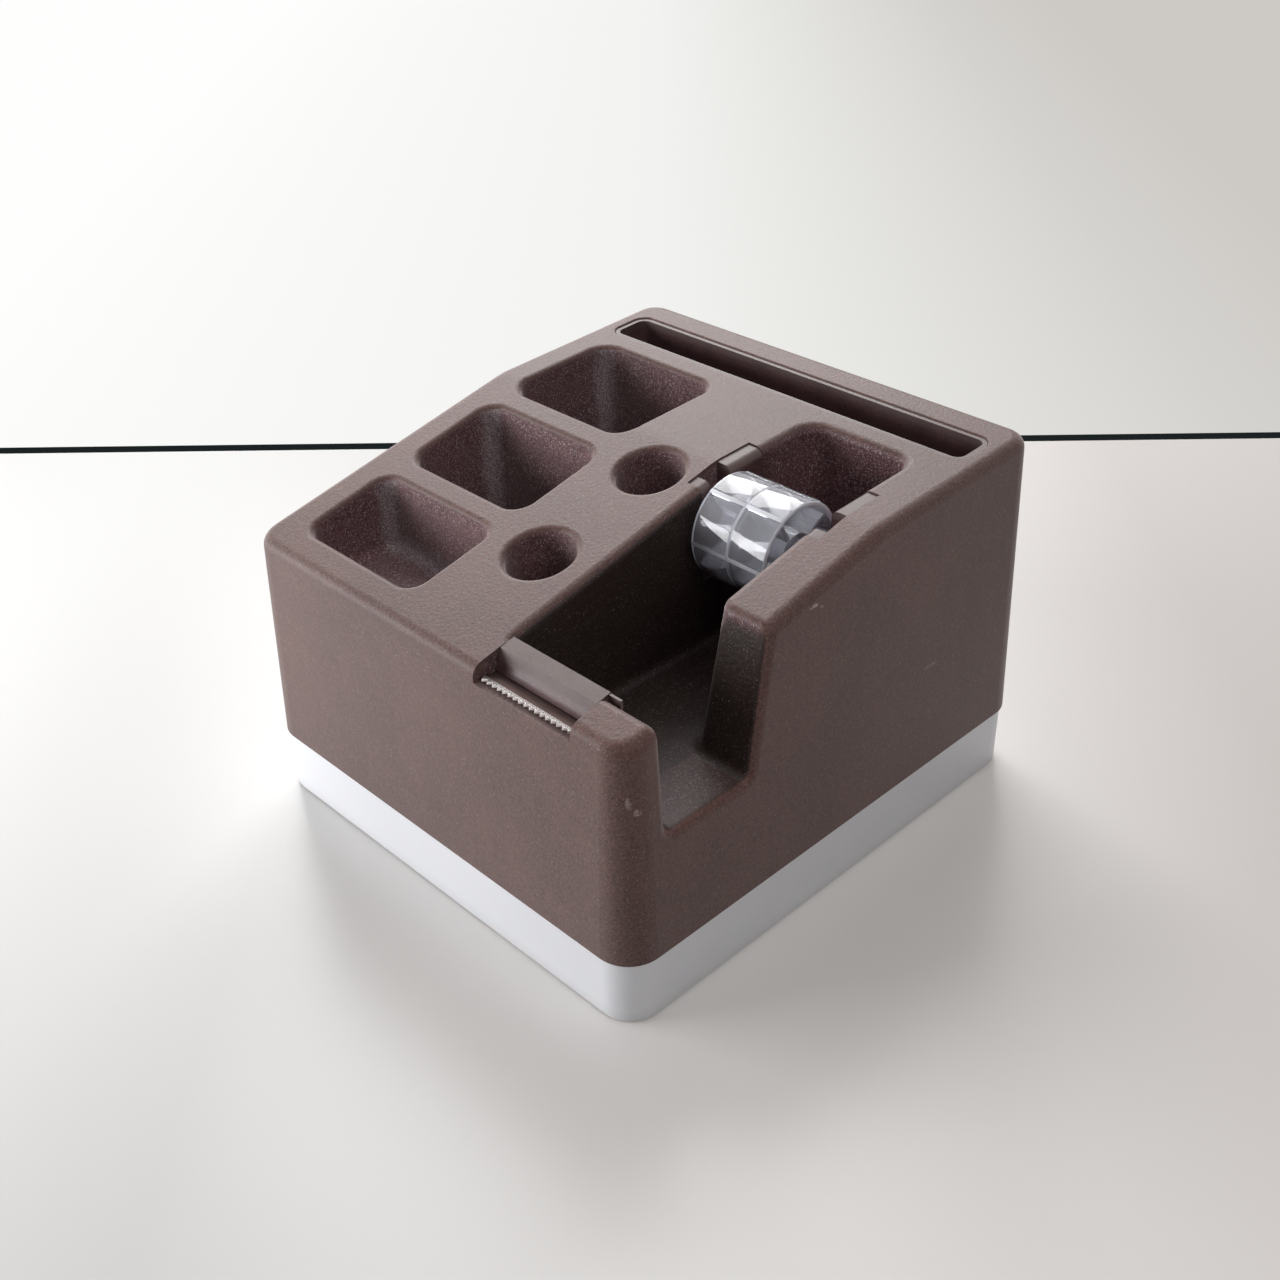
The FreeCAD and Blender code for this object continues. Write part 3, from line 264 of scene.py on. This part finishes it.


# Mask for the painted shade in the tape channel and on the faces of its side opening.
def channel_walls(f, inner):
    """1 on the tape channel's walls and on the faces of its side opening, and 0 elsewhere."""
    x, y, z = f.parts()
    across = within(f, x, CHANNEL_LEFT - MASK_REACH, CHANNEL_RIGHT + MASK_REACH, 0.0004)
    along = within(f, y, CHANNEL_FRONT - 0.0040, CHANNEL_PAINTED_SHADE_END, 0.0080)
    channel = f.math("MULTIPLY", f.math("MULTIPLY", inner, across), along)
    opening = f.math("MULTIPLY", within(f, y, OPENING_FRONT, OPENING_REAR, 0.0007), inside_walls(f, 0.0009))
    above = f.span(z, CHANNEL_FLOOR - 0.0005, CHANNEL_FLOOR + 0.0002)
    opening = f.math("MULTIPLY", opening, f.math("MULTIPLY", above, f.span(below_top(f), 0.0008, 0.0030)))
    opening = f.math("MULTIPLY", opening, f.math("GREATER_THAN", x, OPENING_INNER))
    return f.math("MAXIMUM", channel, opening)


def shell_plastic(name, haze):
    """The housing's brown plastic, grained and hazy outside. Its pockets get a lighter violet colour with
    painted glints and painted corner highlights, and its channel a painted shade.
    """
    f = Finish(name)
    fine = f.noise(1500, 3.0, 0.62)
    grit = f.noise(2900, 2.0, 0.6)
    pits = f.cells(1150)
    broad = f.noise(30, 3.0, 0.55)
    drag = f.noise(420, 3.0, 0.6, at=f.stretched(1, 1, 0.035))
    inner = f.math("MULTIPLY", f.span(below_top(f), 0.0005, 0.0014), inside_walls(f, 0.0026))
    channel = channel_walls(f, inner)
    shade = f.math("ADD", f.math("MULTIPLY", fine, 0.68), f.math("MULTIPLY", broad, 0.24))
    shade = f.math("ADD", shade, f.math("MULTIPLY", drag, 0.08))
    outside = f.ramp(shade, (0.38, (0.047, 0.020, 0.016)), (0.62, (0.122, 0.058, 0.049)))
    # Painted light: the pockets' inner walls get a lighter colour than the outside, with a painted violet
    # cast from the sky's light.
    inside = f.ramp(shade, (0.38, (0.060, 0.024, 0.028)), (0.62, (0.165, 0.074, 0.084)))
    # Painted shade: the channel and its side opening get a near-black colour for the shade that falls in
    # them.
    painted_channel_shade = f.ramp(shade, (0.34, (0.012, 0.006, 0.005)), (0.66, (0.026, 0.014, 0.012)))
    colour = f.mix(inner, outside, inside)
    colour = f.mix(channel, colour, painted_channel_shade)
    # Pale specks: a fine grain outside, and in the pockets denser, brighter specks that are painted glints.
    pocket_glint_share = f.math("SUBTRACT", inner, channel, clamp=True)
    grain_flecks_and_painted_glints = f.math("MULTIPLY", f.span(f.math("MULTIPLY_ADD", pocket_glint_share, 0.055, grit), 0.60, 0.72),
                    f.span(pocket_glint_share, 0.0, 1.0, 0.35, 0.80))
    colour = f.mix(grain_flecks_and_painted_glints, colour, (0.48, 0.40, 0.39))
    # Painted highlight in the pockets' inner corners, broken up by the grit noise.
    painted_corner_highlight = f.math("MULTIPLY", f.math("MULTIPLY", corner_painted_highlight(f), inner), f.span(grit, 0.36, 0.66, 0.15, 0.75))
    colour = f.mix(painted_corner_highlight, colour, (0.46, 0.42, 0.44))
    marks = scuffs(f)
    colour = f.mix(marks, colour, (0.46, 0.36, 0.34))
    rough = f.span(fine, 0.3, 0.7, 0.44, 0.56)
    f.set(Base_Color=colour, Roughness=rough, Specular_IOR_Level=0.24,
          Sheen_Weight=haze, Sheen_Roughness=0.5, Sheen_Tint=(1.0, 0.95, 0.93))
    height = f.math("ADD", f.math("MULTIPLY", pits, 0.7), fine)
    height = f.math("SUBTRACT", height, f.math("MULTIPLY", marks, 0.6))
    upright = f.span(f.math("ABSOLUTE", f.parts(f.face_normal())[2]), 0.25, 0.60, 0.16, 0.46)
    f.set(Normal=f.bump(height, f.math("MAXIMUM", upright, f.math("MULTIPLY", inner, 0.46)), 0.00014))
    return f


def smooth_plastic():
    """Dark reddish brown glossy plastic with faint smears."""
    f = Finish("brown_smooth_insert")
    smear = f.noise(160, 3.0, 0.6, at=f.stretched(1, 1, 0.3))
    fine = f.noise(1900, 2.0, 0.6)
    colour = f.ramp(smear, (0.3, (0.036, 0.017, 0.016)), (0.75, (0.062, 0.033, 0.030)))
    f.set(Base_Color=colour, Roughness=f.span(smear, 0.35, 0.75, 0.16, 0.30), Specular_IOR_Level=0.6)
    f.set(Normal=f.bump(fine, 0.05, 0.00006))
    return f


def satin_plastic():
    """The same brown with a dull satin skin; where it lies level with the housing's top its colour is paler
    and greyer, a painted sheen.
    """
    f = Finish("brown_satin_insert")
    fine = f.noise(1500, 3.0, 0.62)
    smear = f.noise(140, 3.0, 0.6)
    shade = f.math("ADD", f.math("MULTIPLY", fine, 0.5), f.math("MULTIPLY", smear, 0.5))
    deep = f.span(below_top(f), 0.0010, 0.0032)
    # Painted sheen: faces level with the housing's top get a greyer colour than the deeper faces.
    level = f.ramp(shade, (0.34, (0.078, 0.050, 0.046)), (0.66, (0.120, 0.083, 0.078)))
    inside = f.ramp(shade, (0.34, (0.080, 0.042, 0.045)), (0.66, (0.135, 0.078, 0.082)))
    f.set(Base_Color=f.mix(deep, level, inside), Specular_IOR_Level=0.36,
          Roughness=f.span(deep, 0.0, 1.0, 0.46, 0.24))
    f.set(Normal=f.bump(fine, 0.16, 0.00010))
    return f


def clear_plastic(name, clearness, rough):
    """Clear plastic with a mirror polish, faint flow marks and hairline scratches."""
    f = Finish(name)
    flow = f.noise(160, 3.0, 0.6, distortion=1.2)
    hair = f.noise(900, 2.0, 0.6, at=f.stretched(0.06, 1, 1))
    f.set(Base_Color=f.ramp(flow, (0.2, (0.86, 0.87, 0.95)), (0.8, (0.94, 0.94, 0.99))),
          Roughness=f.span(hair, 0.4, 0.8, rough, rough + 0.06), IOR=1.49, Transmission_Weight=clearness)
    f.set(Normal=f.bump(flow, 0.02, 0.0001))
    return f


def steel(name, colour, rough, along=(1, 1, 1)):
    """Bare steel with brushed lines and a little tarnish."""
    f = Finish(name)
    lines = f.noise(2200, 3.0, 0.7, at=f.stretched(*along))
    tarnish = f.noise(160, 3.0, 0.6)
    dull = tuple(c * 0.62 for c in colour)
    f.set(Base_Color=f.ramp(tarnish, (0.3, dull), (0.62, colour)), Metallic=1.0,
          Roughness=f.span(lines, 0.3, 0.75, rough - 0.08, rough + 0.14))
    f.set(Normal=f.bump(lines, 0.25, 0.00003))
    return f


TEETH_ROOT = -0.0633


def blade_steel():
    """Steel strip with rolled lines along it, coloured dark reddish brown as a painted reflection of the
    brown holder, and a bright freshly ground row of teeth.
    """
    f = Finish("blade_steel_ground")
    y = f.parts()[1]
    lines = f.noise(2200, 3.0, 0.7, at=f.stretched(0.08, 1, 1))
    burr = f.noise(2600, 2.0, 0.6)
    ground = f.span(f.math("MULTIPLY_ADD", burr, 0.0006, y), TEETH_ROOT - 0.0005, TEETH_ROOT, 1.0, 0.0)
    # Painted reflection: the strip's steel colour is a dark reddish brown, standing in for the brown holder
    # that it mirrors.
    strip = f.ramp(lines, (0.3, (0.060, 0.036, 0.032)), (0.7, (0.125, 0.088, 0.080)))
    f.set(Base_Color=f.mix(ground, strip, (0.86, 0.83, 0.82)), Metallic=0.9,
          Roughness=f.span(ground, 0.0, 1.0, 0.46, 0.22))
    f.set(Normal=f.bump(lines, 0.25, 0.00003))
    return f


def white_plastic():
    """White semi-gloss plastic, a little cool, with hairline scratches, and a painted contact shadow greying
    it near the desk.
    """
    f = Finish("white_plastic_moulded")
    broad = f.noise(22, 3.0, 0.55)
    fine = f.noise(1500, 2.0, 0.6)
    height = f.parts()[2]
    # Painted contact shadow: the lowest 4 mm, next to the desk, are mixed towards grey.
    low = f.span(height, 0.0, 0.004, 1.0, 0.0)
    colour = f.ramp(broad, (0.3, (0.735, 0.745, 0.78)), (0.7, (0.785, 0.795, 0.83)))
    colour = f.mix(f.math("MULTIPLY", low, 0.35), colour, (0.55, 0.54, 0.53))
    f.set(Base_Color=colour, Roughness=f.span(fine, 0.3, 0.7, 0.30, 0.40),
          Subsurface_Weight=0.08, Subsurface_Scale=0.002, Coat_Weight=0.15, Coat_Roughness=0.2)
    f.set(Normal=f.bump(fine, 0.05, 0.00005))
    return f


def grey_plastic():
    """Mid-grey plastic with a fine grain."""
    f = Finish("grey_plastic_moulded")
    fine = f.noise(1800, 3.0, 0.6)
    f.set(Base_Color=f.ramp(fine, (0.3, (0.20, 0.20, 0.21)), (0.7, (0.27, 0.27, 0.28))),
          Roughness=f.span(fine, 0.3, 0.7, 0.42, 0.55))
    f.set(Normal=f.bump(fine, 0.15, 0.0001))
    return f


def foot_rubber():
    """Dark soft rubber with a powdery bloom."""
    f = Finish("foot_rubber_pad")
    fine = f.noise(1400, 3.0, 0.7)
    bloom = f.noise(260, 2.0, 0.6)
    f.set(Base_Color=f.ramp(bloom, (0.3, (0.035, 0.035, 0.036)), (0.75, (0.075, 0.073, 0.07))),
          Roughness=f.span(fine, 0.3, 0.7, 0.72, 0.9))
    f.set(Normal=f.bump(fine, 0.4, 0.00015))
    return f


FINISHES = {
    "brown_grained": shell_plastic("brown_grained_shell", 0.42),
    "brown_smooth": smooth_plastic(),
    "clear_plastic": clear_plastic("clear_plastic_moulded", 0.90, 0.015),
    "blade_steel": blade_steel(),
    "grey_plastic": grey_plastic(),
    "screw_steel": steel("screw_steel_zinc", (0.62, 0.61, 0.60), 0.32),
    "ballast_steel": steel("ballast_steel_rolled", (0.36, 0.35, 0.34), 0.45, (0.1, 1, 1)),
    "white_plastic": white_plastic(),
    "foot_rubber": foot_rubber(),
}

# Further finishes of the same plastics, each used by a few pieces or faces only.
SATIN = satin_plastic()
CHANNEL = shell_plastic("brown_grained_channel", 0.05)
CORE = clear_plastic("clear_plastic_core", 0.80, 0.04)
FROSTED = clear_plastic("clear_plastic_frosted", 0.30, 0.08)

for name, node in frame["nodes"].items():
    for index, material in enumerate(node.data.materials):
        node.data.materials[index] = FINISHES[material.name].material
    if name in ("slot_liner", "blade_holder") or name.startswith("axle_cradle"):
        node.data.materials[0] = SATIN.material


def in_channel(point):
    """Whether a point of the housing lies in the tape channel or on the faces of its side opening."""
    x, y, z = point
    top = BEND_Z + (y - BEND_Y) * (FRONT_RISE if y < BEND_Y else REAR_RISE)
    outer = HALF_WIDTH - (0.0023 if z > CHANNEL_FLOOR + 0.0040 else 0.0008)
    if z < CHANNEL_FLOOR - 0.0010 or z > top - 0.0012 or not CHANNEL_LEFT - MASK_REACH < x < outer:
        return False
    if x < CHANNEL_RIGHT + MASK_REACH:
        return CHANNEL_FRONT - 0.0040 < y < CHANNEL_REAR
    return OPENING_FRONT < y < OPENING_REAR


def line_channel(node):
    """Gives the channel's own faces the same plastic without the outside's haze."""
    node.data.materials.append(CHANNEL.material)
    points = [node.matrix_world @ vertex.co for vertex in node.data.vertices]
    for face in node.data.polygons:
        outside = abs(face.normal.x) > 0.8 and face.center.x > OPENING_INNER + 0.0100
        if not outside and all(in_channel(points[index]) for index in face.vertices):
            face.material_index = 1


line_channel(frame["nodes"]["body_shell"])


# ---------------------------------------------------------------- pieces

def placed(name, mesh, sharp):
    """An object with the mesh, smooth except at edges sharper than the angle in degrees."""
    mesh.polygons.foreach_set("use_smooth", [True] * len(mesh.polygons))
    mesh.set_sharp_from_angle(angle=math.radians(sharp))
    item = bpy.data.objects.new(name, mesh)
    scene.collection.objects.link(item)
    return item


def keep(name, bm, finish, sharp=35):
    """Turns the working mesh into an object."""
    mesh = bpy.data.meshes.new(name)
    bmesh.ops.recalc_face_normals(bm, faces=bm.faces)
    bm.to_mesh(mesh)
    bm.free()
    mesh.materials.append(finish.material)
    return placed(name, mesh, sharp)


def around(x, radius, angle):
    """A point at a radius and an angle round the axle."""
    return (x, AXLE_Y + radius * math.cos(angle), AXLE_Z + radius * math.sin(angle))


def bridge(bm, a, b):
    """The faces between two closed rows of points."""
    after = [(index + 1) % len(a) for index in range(len(a))]
    return [bm.faces.new((a[here], a[there], b[there], b[here])) for here, there in enumerate(after)]


def lathe(profile, segments):
    """A closed ring turned about the axle; profile holds (x, radius) corners."""
    bm = bmesh.new()
    turns = [2 * math.pi * step / segments for step in range(segments)]
    rings = [[bm.verts.new(around(x, r, angle)) for x, r in profile] for angle in turns]
    for a, b in zip(rings, rings[1:] + rings[:1]):
        bridge(bm, a, b)
    return bm


def softened(corners, steps=3):
    """A closed outline from (x, radius, rounding) corners, each of them rounded."""
    result = []
    count = len(corners)
    for index in range(count):
        here = Vector(corners[index][:2])
        r = corners[index][2]
        to_last = (Vector(corners[index - 1][:2]) - here).normalized()
        to_next = (Vector(corners[(index + 1) % count][:2]) - here).normalized()
        opening = to_last.angle(to_next)
        reach = r / math.tan(opening / 2)
        start, end = here + to_last * reach, here + to_next * reach
        centre = here + (to_last + to_next).normalized() * (r / math.sin(opening / 2))
        for step in range(steps + 1):
            share = step / steps
            point = start.lerp(end, share) - centre
            result.append(tuple(centre + point.normalized() * r))
    return result


def bar(low, high, turn, bevel):
    """A box between two corners, turned about the axle, with its edges bevelled."""
    bm = bmesh.new()
    made = bmesh.ops.create_cube(bm, size=1.0)["verts"]
    bmesh.ops.scale(bm, vec=Vector(high) - Vector(low), verts=made)
    bmesh.ops.translate(bm, vec=(Vector(low) + Vector(high)) / 2, verts=made)
    bmesh.ops.rotate(bm, cent=(0, AXLE_Y, AXLE_Z), matrix=Matrix.Rotation(turn, 3, "X"), verts=made)
    bmesh.ops.bevel(bm, geom=bm.edges[:], offset=bevel, segments=2, profile=0.5, affect="EDGES")
    return bm


def union(name, bms, finish):
    """One closed mesh from several, by boolean union."""
    items = [keep(name + "_%d" % index, bm, finish) for index, bm in enumerate(bms)]
    base = items[0]
    for other in items[1:]:
        join = base.modifiers.new("join", "BOOLEAN")
        join.operation = "UNION"
        join.solver = "EXACT"
        join.object = other
    bpy.context.view_layer.update()
    graph = bpy.context.evaluated_depsgraph_get()
    mesh = bpy.data.meshes.new_from_object(base.evaluated_get(graph))
    mesh.name = name
    for item in items:
        bpy.data.objects.remove(item)
    return placed(name, mesh, 30)


def reach_of(name, axis):
    """Where the CAD node starts and ends along an axis."""
    node = frame["nodes"][name]
    values = [(node.matrix_world @ vertex.co)[axis] for vertex in node.data.vertices]
    return min(values), max(values)


SPIN = next(joint for joint in frame["joints"] if joint["name"] == "hub_spin")
HUB_MIDDLE, AXLE_Y, AXLE_Z = SPIN["pos_m"]
HUB_LEFT = reach_of("hub_half_left", 0)[0]
HUB_RIGHT = reach_of("hub_half_right", 0)[1]
HUB_LOW, HUB_HIGH = reach_of("hub_half_left", 2)
AXLE_LEFT, AXLE_RIGHT = reach_of("hub_axle", 0)
AXLE_RADIUS = 0.0032
AXLE_END_CURVE = 0.0007
AXLE_SINK_MARK = [(0.00025, 0.0009), (0.00008, 0.0013)]
BORE_RADIUS = AXLE_RADIUS + 0.00005
BOSS_WALL = 0.0015
RIB_COUNT = 6
RIB_RISE = 0.00035
RIB_HALF = 0.00050
RIB_FLANK = 0.00012
RIB_RUNOUT = 0.0006
RING_RADIUS = (HUB_HIGH - HUB_LOW) / 2 - RIB_RISE
RING_WALL = 0.0011
RING_ROUND = 0.00032
RING_STEPS = 96
WEB_THICKNESS = 0.0012
CORE_INSET = 0.0010
SPOKE_COUNT = 4
SPOKE_HALF = 0.00055
SPOKE_START = 0.35
FIT_GAP = 0.00002


def ribbed_ring(mid, out, inner):
    """The spool's outer wall as rows of faces round the axle, with its ribs standing out of it."""
    corners = ((mid, inner), (mid, RING_RADIUS), (out, RING_RADIUS), (out, inner))
    outline = softened([(x, r, RING_ROUND) for x, r in corners], 4)
    outer_half = inner + 0.0007
    slope = (RIB_HALF + RIB_FLANK) / RING_RADIUS
    flat = RIB_HALF / RING_RADIUS
    pitch = 2 * math.pi / RIB_COUNT
    angles = {round(2 * math.pi * step / RING_STEPS, 6) for step in range(RING_STEPS)}
    for rib in range(RIB_COUNT):
        centre = rib * pitch
        angles = {a for a in angles if abs(a - centre) > slope + 0.006}
        angles |= {round((centre + turn) % (2 * math.pi), 6) for turn in (-slope, -flat, 0.0, flat, slope)}
    bm = bmesh.new()
    rows = []
    for angle in sorted(angles):
        on_rib = abs((angle + pitch / 2) % pitch - pitch / 2) < flat + 0.0005
        row = []
        for x, r in outline:
            end = min(abs(x - mid), abs(x - out)) / RIB_RUNOUT
            r += RIB_RISE * min(end, 1.0) if on_rib and r > outer_half else 0.0
            row.append(bm.verts.new(around(x, r, angle)))
        rows.append((on_rib, row))
    for (rib_a, a), (rib_b, b) in zip(rows, rows[1:] + rows[:1]):
        for index, face in enumerate(bridge(bm, a, b)):
            middle = face.calc_center_median().x
            at_end = min(abs(middle - mid), abs(middle - out)) < 0.0002
            outside = min(outline[index][1], outline[(index + 1) % len(outline)][1]) > outer_half
            face.material_index = int(at_end or (rib_a and rib_b and outside))
    return bm


def hub_half(name, mid, out):
    """A clear half spool: a ribbed wall, and in it a boss on four spokes and a web at mid length."""
    sign = 1 if out > mid else -1
    web = mid + sign * WEB_THICKNESS
    inset = out - sign * CORE_INSET
    inner = RING_RADIUS - RING_WALL
    boss = BORE_RADIUS + BOSS_WALL
    rim = inner - FIT_GAP
    ring = keep("hub_%s_wall" % name, ribbed_ring(mid, out, inner), FINISHES["clear_plastic"], 40)
    ring.data.materials.append(FROSTED.material)
    outline = [(mid, BORE_RADIUS, 0.0001), (mid, rim, 0.0001), (web, rim, 0.0001), (web, boss, 0.0003),
               (inset, boss, 0.0003), (inset, BORE_RADIUS, 0.0002)]
    low, high = min(mid, inset), max(mid, inset)
    spokes = [bar((low + 0.0003, AXLE_Y + boss - 0.0007, AXLE_Z - SPOKE_HALF),
                  (high - 0.0002, AXLE_Y + rim - FIT_GAP, AXLE_Z + SPOKE_HALF),
                  (index + SPOKE_START) * 2 * math.pi / SPOKE_COUNT, 0.00016) for index in range(SPOKE_COUNT)]
    core = union("hub_%s_core" % name, [lathe(softened(outline), RING_STEPS)] + spokes, CORE)
    for item in (ring, core):
        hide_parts("hub_half_" + name)
        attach(item, "tape_hub")


def rod(rows, segments):
    """A solid bar along the axle; rows holds its (x, radius) steps, ends closed."""
    bm = bmesh.new()
    turns = [2 * math.pi * step / segments for step in range(segments)]
    rings = [[bm.verts.new(around(x, r, angle)) for angle in turns] for x, r in rows]
    for a, b in zip(rings, rings[1:]):
        bridge(bm, a, b)
    bm.faces.new(rings[0])
    bm.faces.new(rings[-1])
    return bm


def axle():
    """The clear axle, with its ends rounded over and a shallow sink mark in each."""
    turns = [math.pi / 2 * step / 5 for step in range(5, -1, -1)]
    curve = [(AXLE_END_CURVE * (1 - math.sin(a)), AXLE_RADIUS - AXLE_END_CURVE * (1 - math.cos(a)))
             for a in turns]
    end = AXLE_SINK_MARK + curve
    rows = [(AXLE_LEFT + x, r) for x, r in end] + [(AXLE_RIGHT - x, r) for x, r in reversed(end)]
    item = keep("hub_axle_clear", rod(rows, 64), FINISHES["clear_plastic"])
    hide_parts("hub_axle")
    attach(item, "axle")


hub_half("left", HUB_MIDDLE, HUB_LEFT)
hub_half("right", HUB_MIDDLE, HUB_RIGHT)
axle()


# ---------------------------------------------------------------- camera

CAMERA_PLACE = (0.22965, -0.22270, 0.24530)
CAMERA_AHEAD = Vector((-0.6044117, 0.5820181, -0.5440050))
CAMERA_RIGHT = Vector((0.7024367, 0.7114863, -0.0192333))
CAMERA_LENS = 44.07


def set_camera():
    up = CAMERA_RIGHT.cross(CAMERA_AHEAD)
    turn = Matrix((CAMERA_RIGHT, up, -CAMERA_AHEAD)).transposed()
    data = bpy.data.cameras.new("camera")
    data.lens = CAMERA_LENS
    data.sensor_width = 36
    data.clip_start = 0.01
    camera = bpy.data.objects.new("camera", data)
    camera.matrix_world = Matrix.Translation(CAMERA_PLACE) @ turn.to_4x4()
    scene.collection.objects.link(camera)
    scene.camera = camera


set_camera()


# ---------------------------------------------------------------- floor and light

# The desk's far edge, and the dark line painted there as the shade in the gap behind it.
EDGE_POINT = Vector((-0.133, 0.129, 0))
EDGE_NORMAL = Vector((-0.703, 0.711, 0))
EDGE_LINE = 0.005
DESK_SIZE = 6.0
DESK_DROP = 0.00002

# Painted light and shade along the edge, from left to right: the desk's colours over its span, and the wall's
# over its own, lighter and darker as the room's light falls.
DESK_SPAN = 0.20
DESK_PAINTED_LIGHT = ((0.05, (0.56, 0.557, 0.550)), (0.27, (0.50, 0.495, 0.487)), (0.50, (0.66, 0.642, 0.628)),
                (0.72, (0.65, 0.625, 0.610)), (0.90, (0.55, 0.515, 0.500)))
WALL_SPAN = 0.30
WALL_PAINTED_LIGHT = ((0.0, (0.99, 0.995, 0.985)), (0.5, (0.89, 0.89, 0.875)), (0.68, (0.765, 0.76, 0.735)),
                (0.85, (0.66, 0.645, 0.62)), (1.0, (0.61, 0.585, 0.56)))
FAR_COLOUR = (0.86, 0.86, 0.85)
FAR_START, FAR_END = 0.32, 0.80
EDGE_PAINTED_SHADE = (0.012, 0.016, 0.016)


def pale_floor():
    """A white desk with painted light and shade along it and a thin painted shade line at its far edge, with
    a pale surface beyond it.
    """
    mesh = bpy.data.meshes.new("floor")
    corners = ((-1, -1), (1, -1), (1, 1), (-1, 1))
    mesh.from_pydata([(x * DESK_SIZE, y * DESK_SIZE, -DESK_DROP) for x, y in corners], [], [(0, 1, 2, 3)])
    floor = bpy.data.objects.new("floor", mesh)
    scene.collection.objects.link(floor)
    f = Finish("floor_pale")
    x, y, _ = f.parts()
    nx, ny = EDGE_NORMAL.x, EDGE_NORMAL.y
    beyond = f.math("SUBTRACT", f.math("MULTIPLY_ADD", y, ny, f.math("MULTIPLY", x, nx)),
                    EDGE_POINT.dot(EDGE_NORMAL))
    along = f.math("MULTIPLY_ADD", x, ny, f.math("MULTIPLY", y, -nx))
    desk = f.ramp(f.span(along, -DESK_SPAN, DESK_SPAN, smooth=False), *DESK_PAINTED_LIGHT)
    wall = f.ramp(f.span(along, -WALL_SPAN, WALL_SPAN, smooth=False), *WALL_PAINTED_LIGHT)
    paths = f.tree.nodes.new("ShaderNodeLightPath").outputs
    seen = f.math("ADD", f.math("ADD", paths["Is Camera Ray"], paths["Is Glossy Ray"]),
                  paths["Is Transmission Ray"], clamp=True)
    f.set(Base_Color=desk, Roughness=f.span(f.noise(700, 2.0, 0.5), 0.3, 0.7, 0.30, 0.34),
          Emission_Color=desk, Emission_Strength=f.math("MULTIPLY", seen, 0.18))
    distance = f.math("SQRT", f.math("ADD", f.math("MULTIPLY", x, x), f.math("MULTIPLY", y, y)))
    far = f.math("MULTIPLY", f.span(distance, FAR_START, FAR_END), seen)
    past = f.math("MULTIPLY", f.math("GREATER_THAN", beyond, EDGE_LINE), seen)
    in_line = f.math("MULTIPLY", f.math("GREATER_THAN", beyond, 0.0), f.math("LESS_THAN", beyond, EDGE_LINE))
    surface = f.shader.outputs[0]
    for factor, colour in ((far, FAR_COLOUR), (past, wall), (in_line, EDGE_PAINTED_SHADE)):
        surface = f.either(factor, surface, f.emission(colour))
    f.tree.links.new(surface, f.output.inputs[0])
    mesh.materials.append(f.material)


def lamp(name, place, aim, size, power, colour=(1, 1, 1)):
    """A rectangular lamp at a place, turned towards the aim."""
    data = bpy.data.lights.new(name, "AREA")
    data.shape = "RECTANGLE"
    data.size, data.size_y = size
    data.energy = power
    data.color = colour
    item = bpy.data.objects.new(name, data)
    item.location = place
    item.rotation_euler = (Vector(aim) - Vector(place)).to_track_quat("-Z", "Y").to_euler()
    item.visible_camera = False
    scene.collection.objects.link(item)


ROOM_COLOUR, ROOM_STRENGTH = (0.95, 0.97, 1.0, 1), 0.04
BACKDROP_COLOUR, BACKDROP_STRENGTH = (0.93, 0.93, 0.92, 1), 1.0


def pale_world():
    """A pale backdrop for the camera, gloss and clear plastic, and a dim room for everything else."""
    world = bpy.data.worlds.new("studio")
    scene.world = world
    world.use_nodes = True
    nodes, links = world.node_tree.nodes, world.node_tree.links
    nodes.clear()
    paths = nodes.new("ShaderNodeLightPath").outputs
    seen = paths["Is Camera Ray"]
    for other in ("Is Transmission Ray", "Is Glossy Ray"):
        either = nodes.new("ShaderNodeMath")
        either.operation = "MAXIMUM"
        links.new(seen, either.inputs[0])
        links.new(paths[other], either.inputs[1])
        seen = either.outputs[0]
    mix = nodes.new("ShaderNodeMixShader")
    links.new(seen, mix.inputs[0])
    for index, colour, strength in ((1, ROOM_COLOUR, ROOM_STRENGTH), (2, BACKDROP_COLOUR, BACKDROP_STRENGTH)):
        light = nodes.new("ShaderNodeBackground")
        light.inputs["Color"].default_value = colour
        light.inputs["Strength"].default_value = strength
        links.new(light.outputs[0], mix.inputs[index])
    links.new(mix.outputs[0], nodes.new("ShaderNodeOutputWorld").inputs[0])


pale_floor()
pale_world()
lamp("low_window", (-0.29, -0.345, 0.13), (-0.03, -0.05, 0.045), (0.34, 0.20), 2.1, (0.99, 0.99, 1.0))
lamp("far_window", (-0.42, 0.34, 0.52), (0, 0, 0.06), (0.5, 0.45), 5.0)
lamp("ceiling", (0, 0, 0.70), (0, 0, 0.05), (0.5, 0.5), 0.95)
lamp("right_fill", (0.45, -0.10, 0.45), (0.05, 0, 0.03), (0.4, 0.4), 0.80, (1.0, 0.96, 0.94))
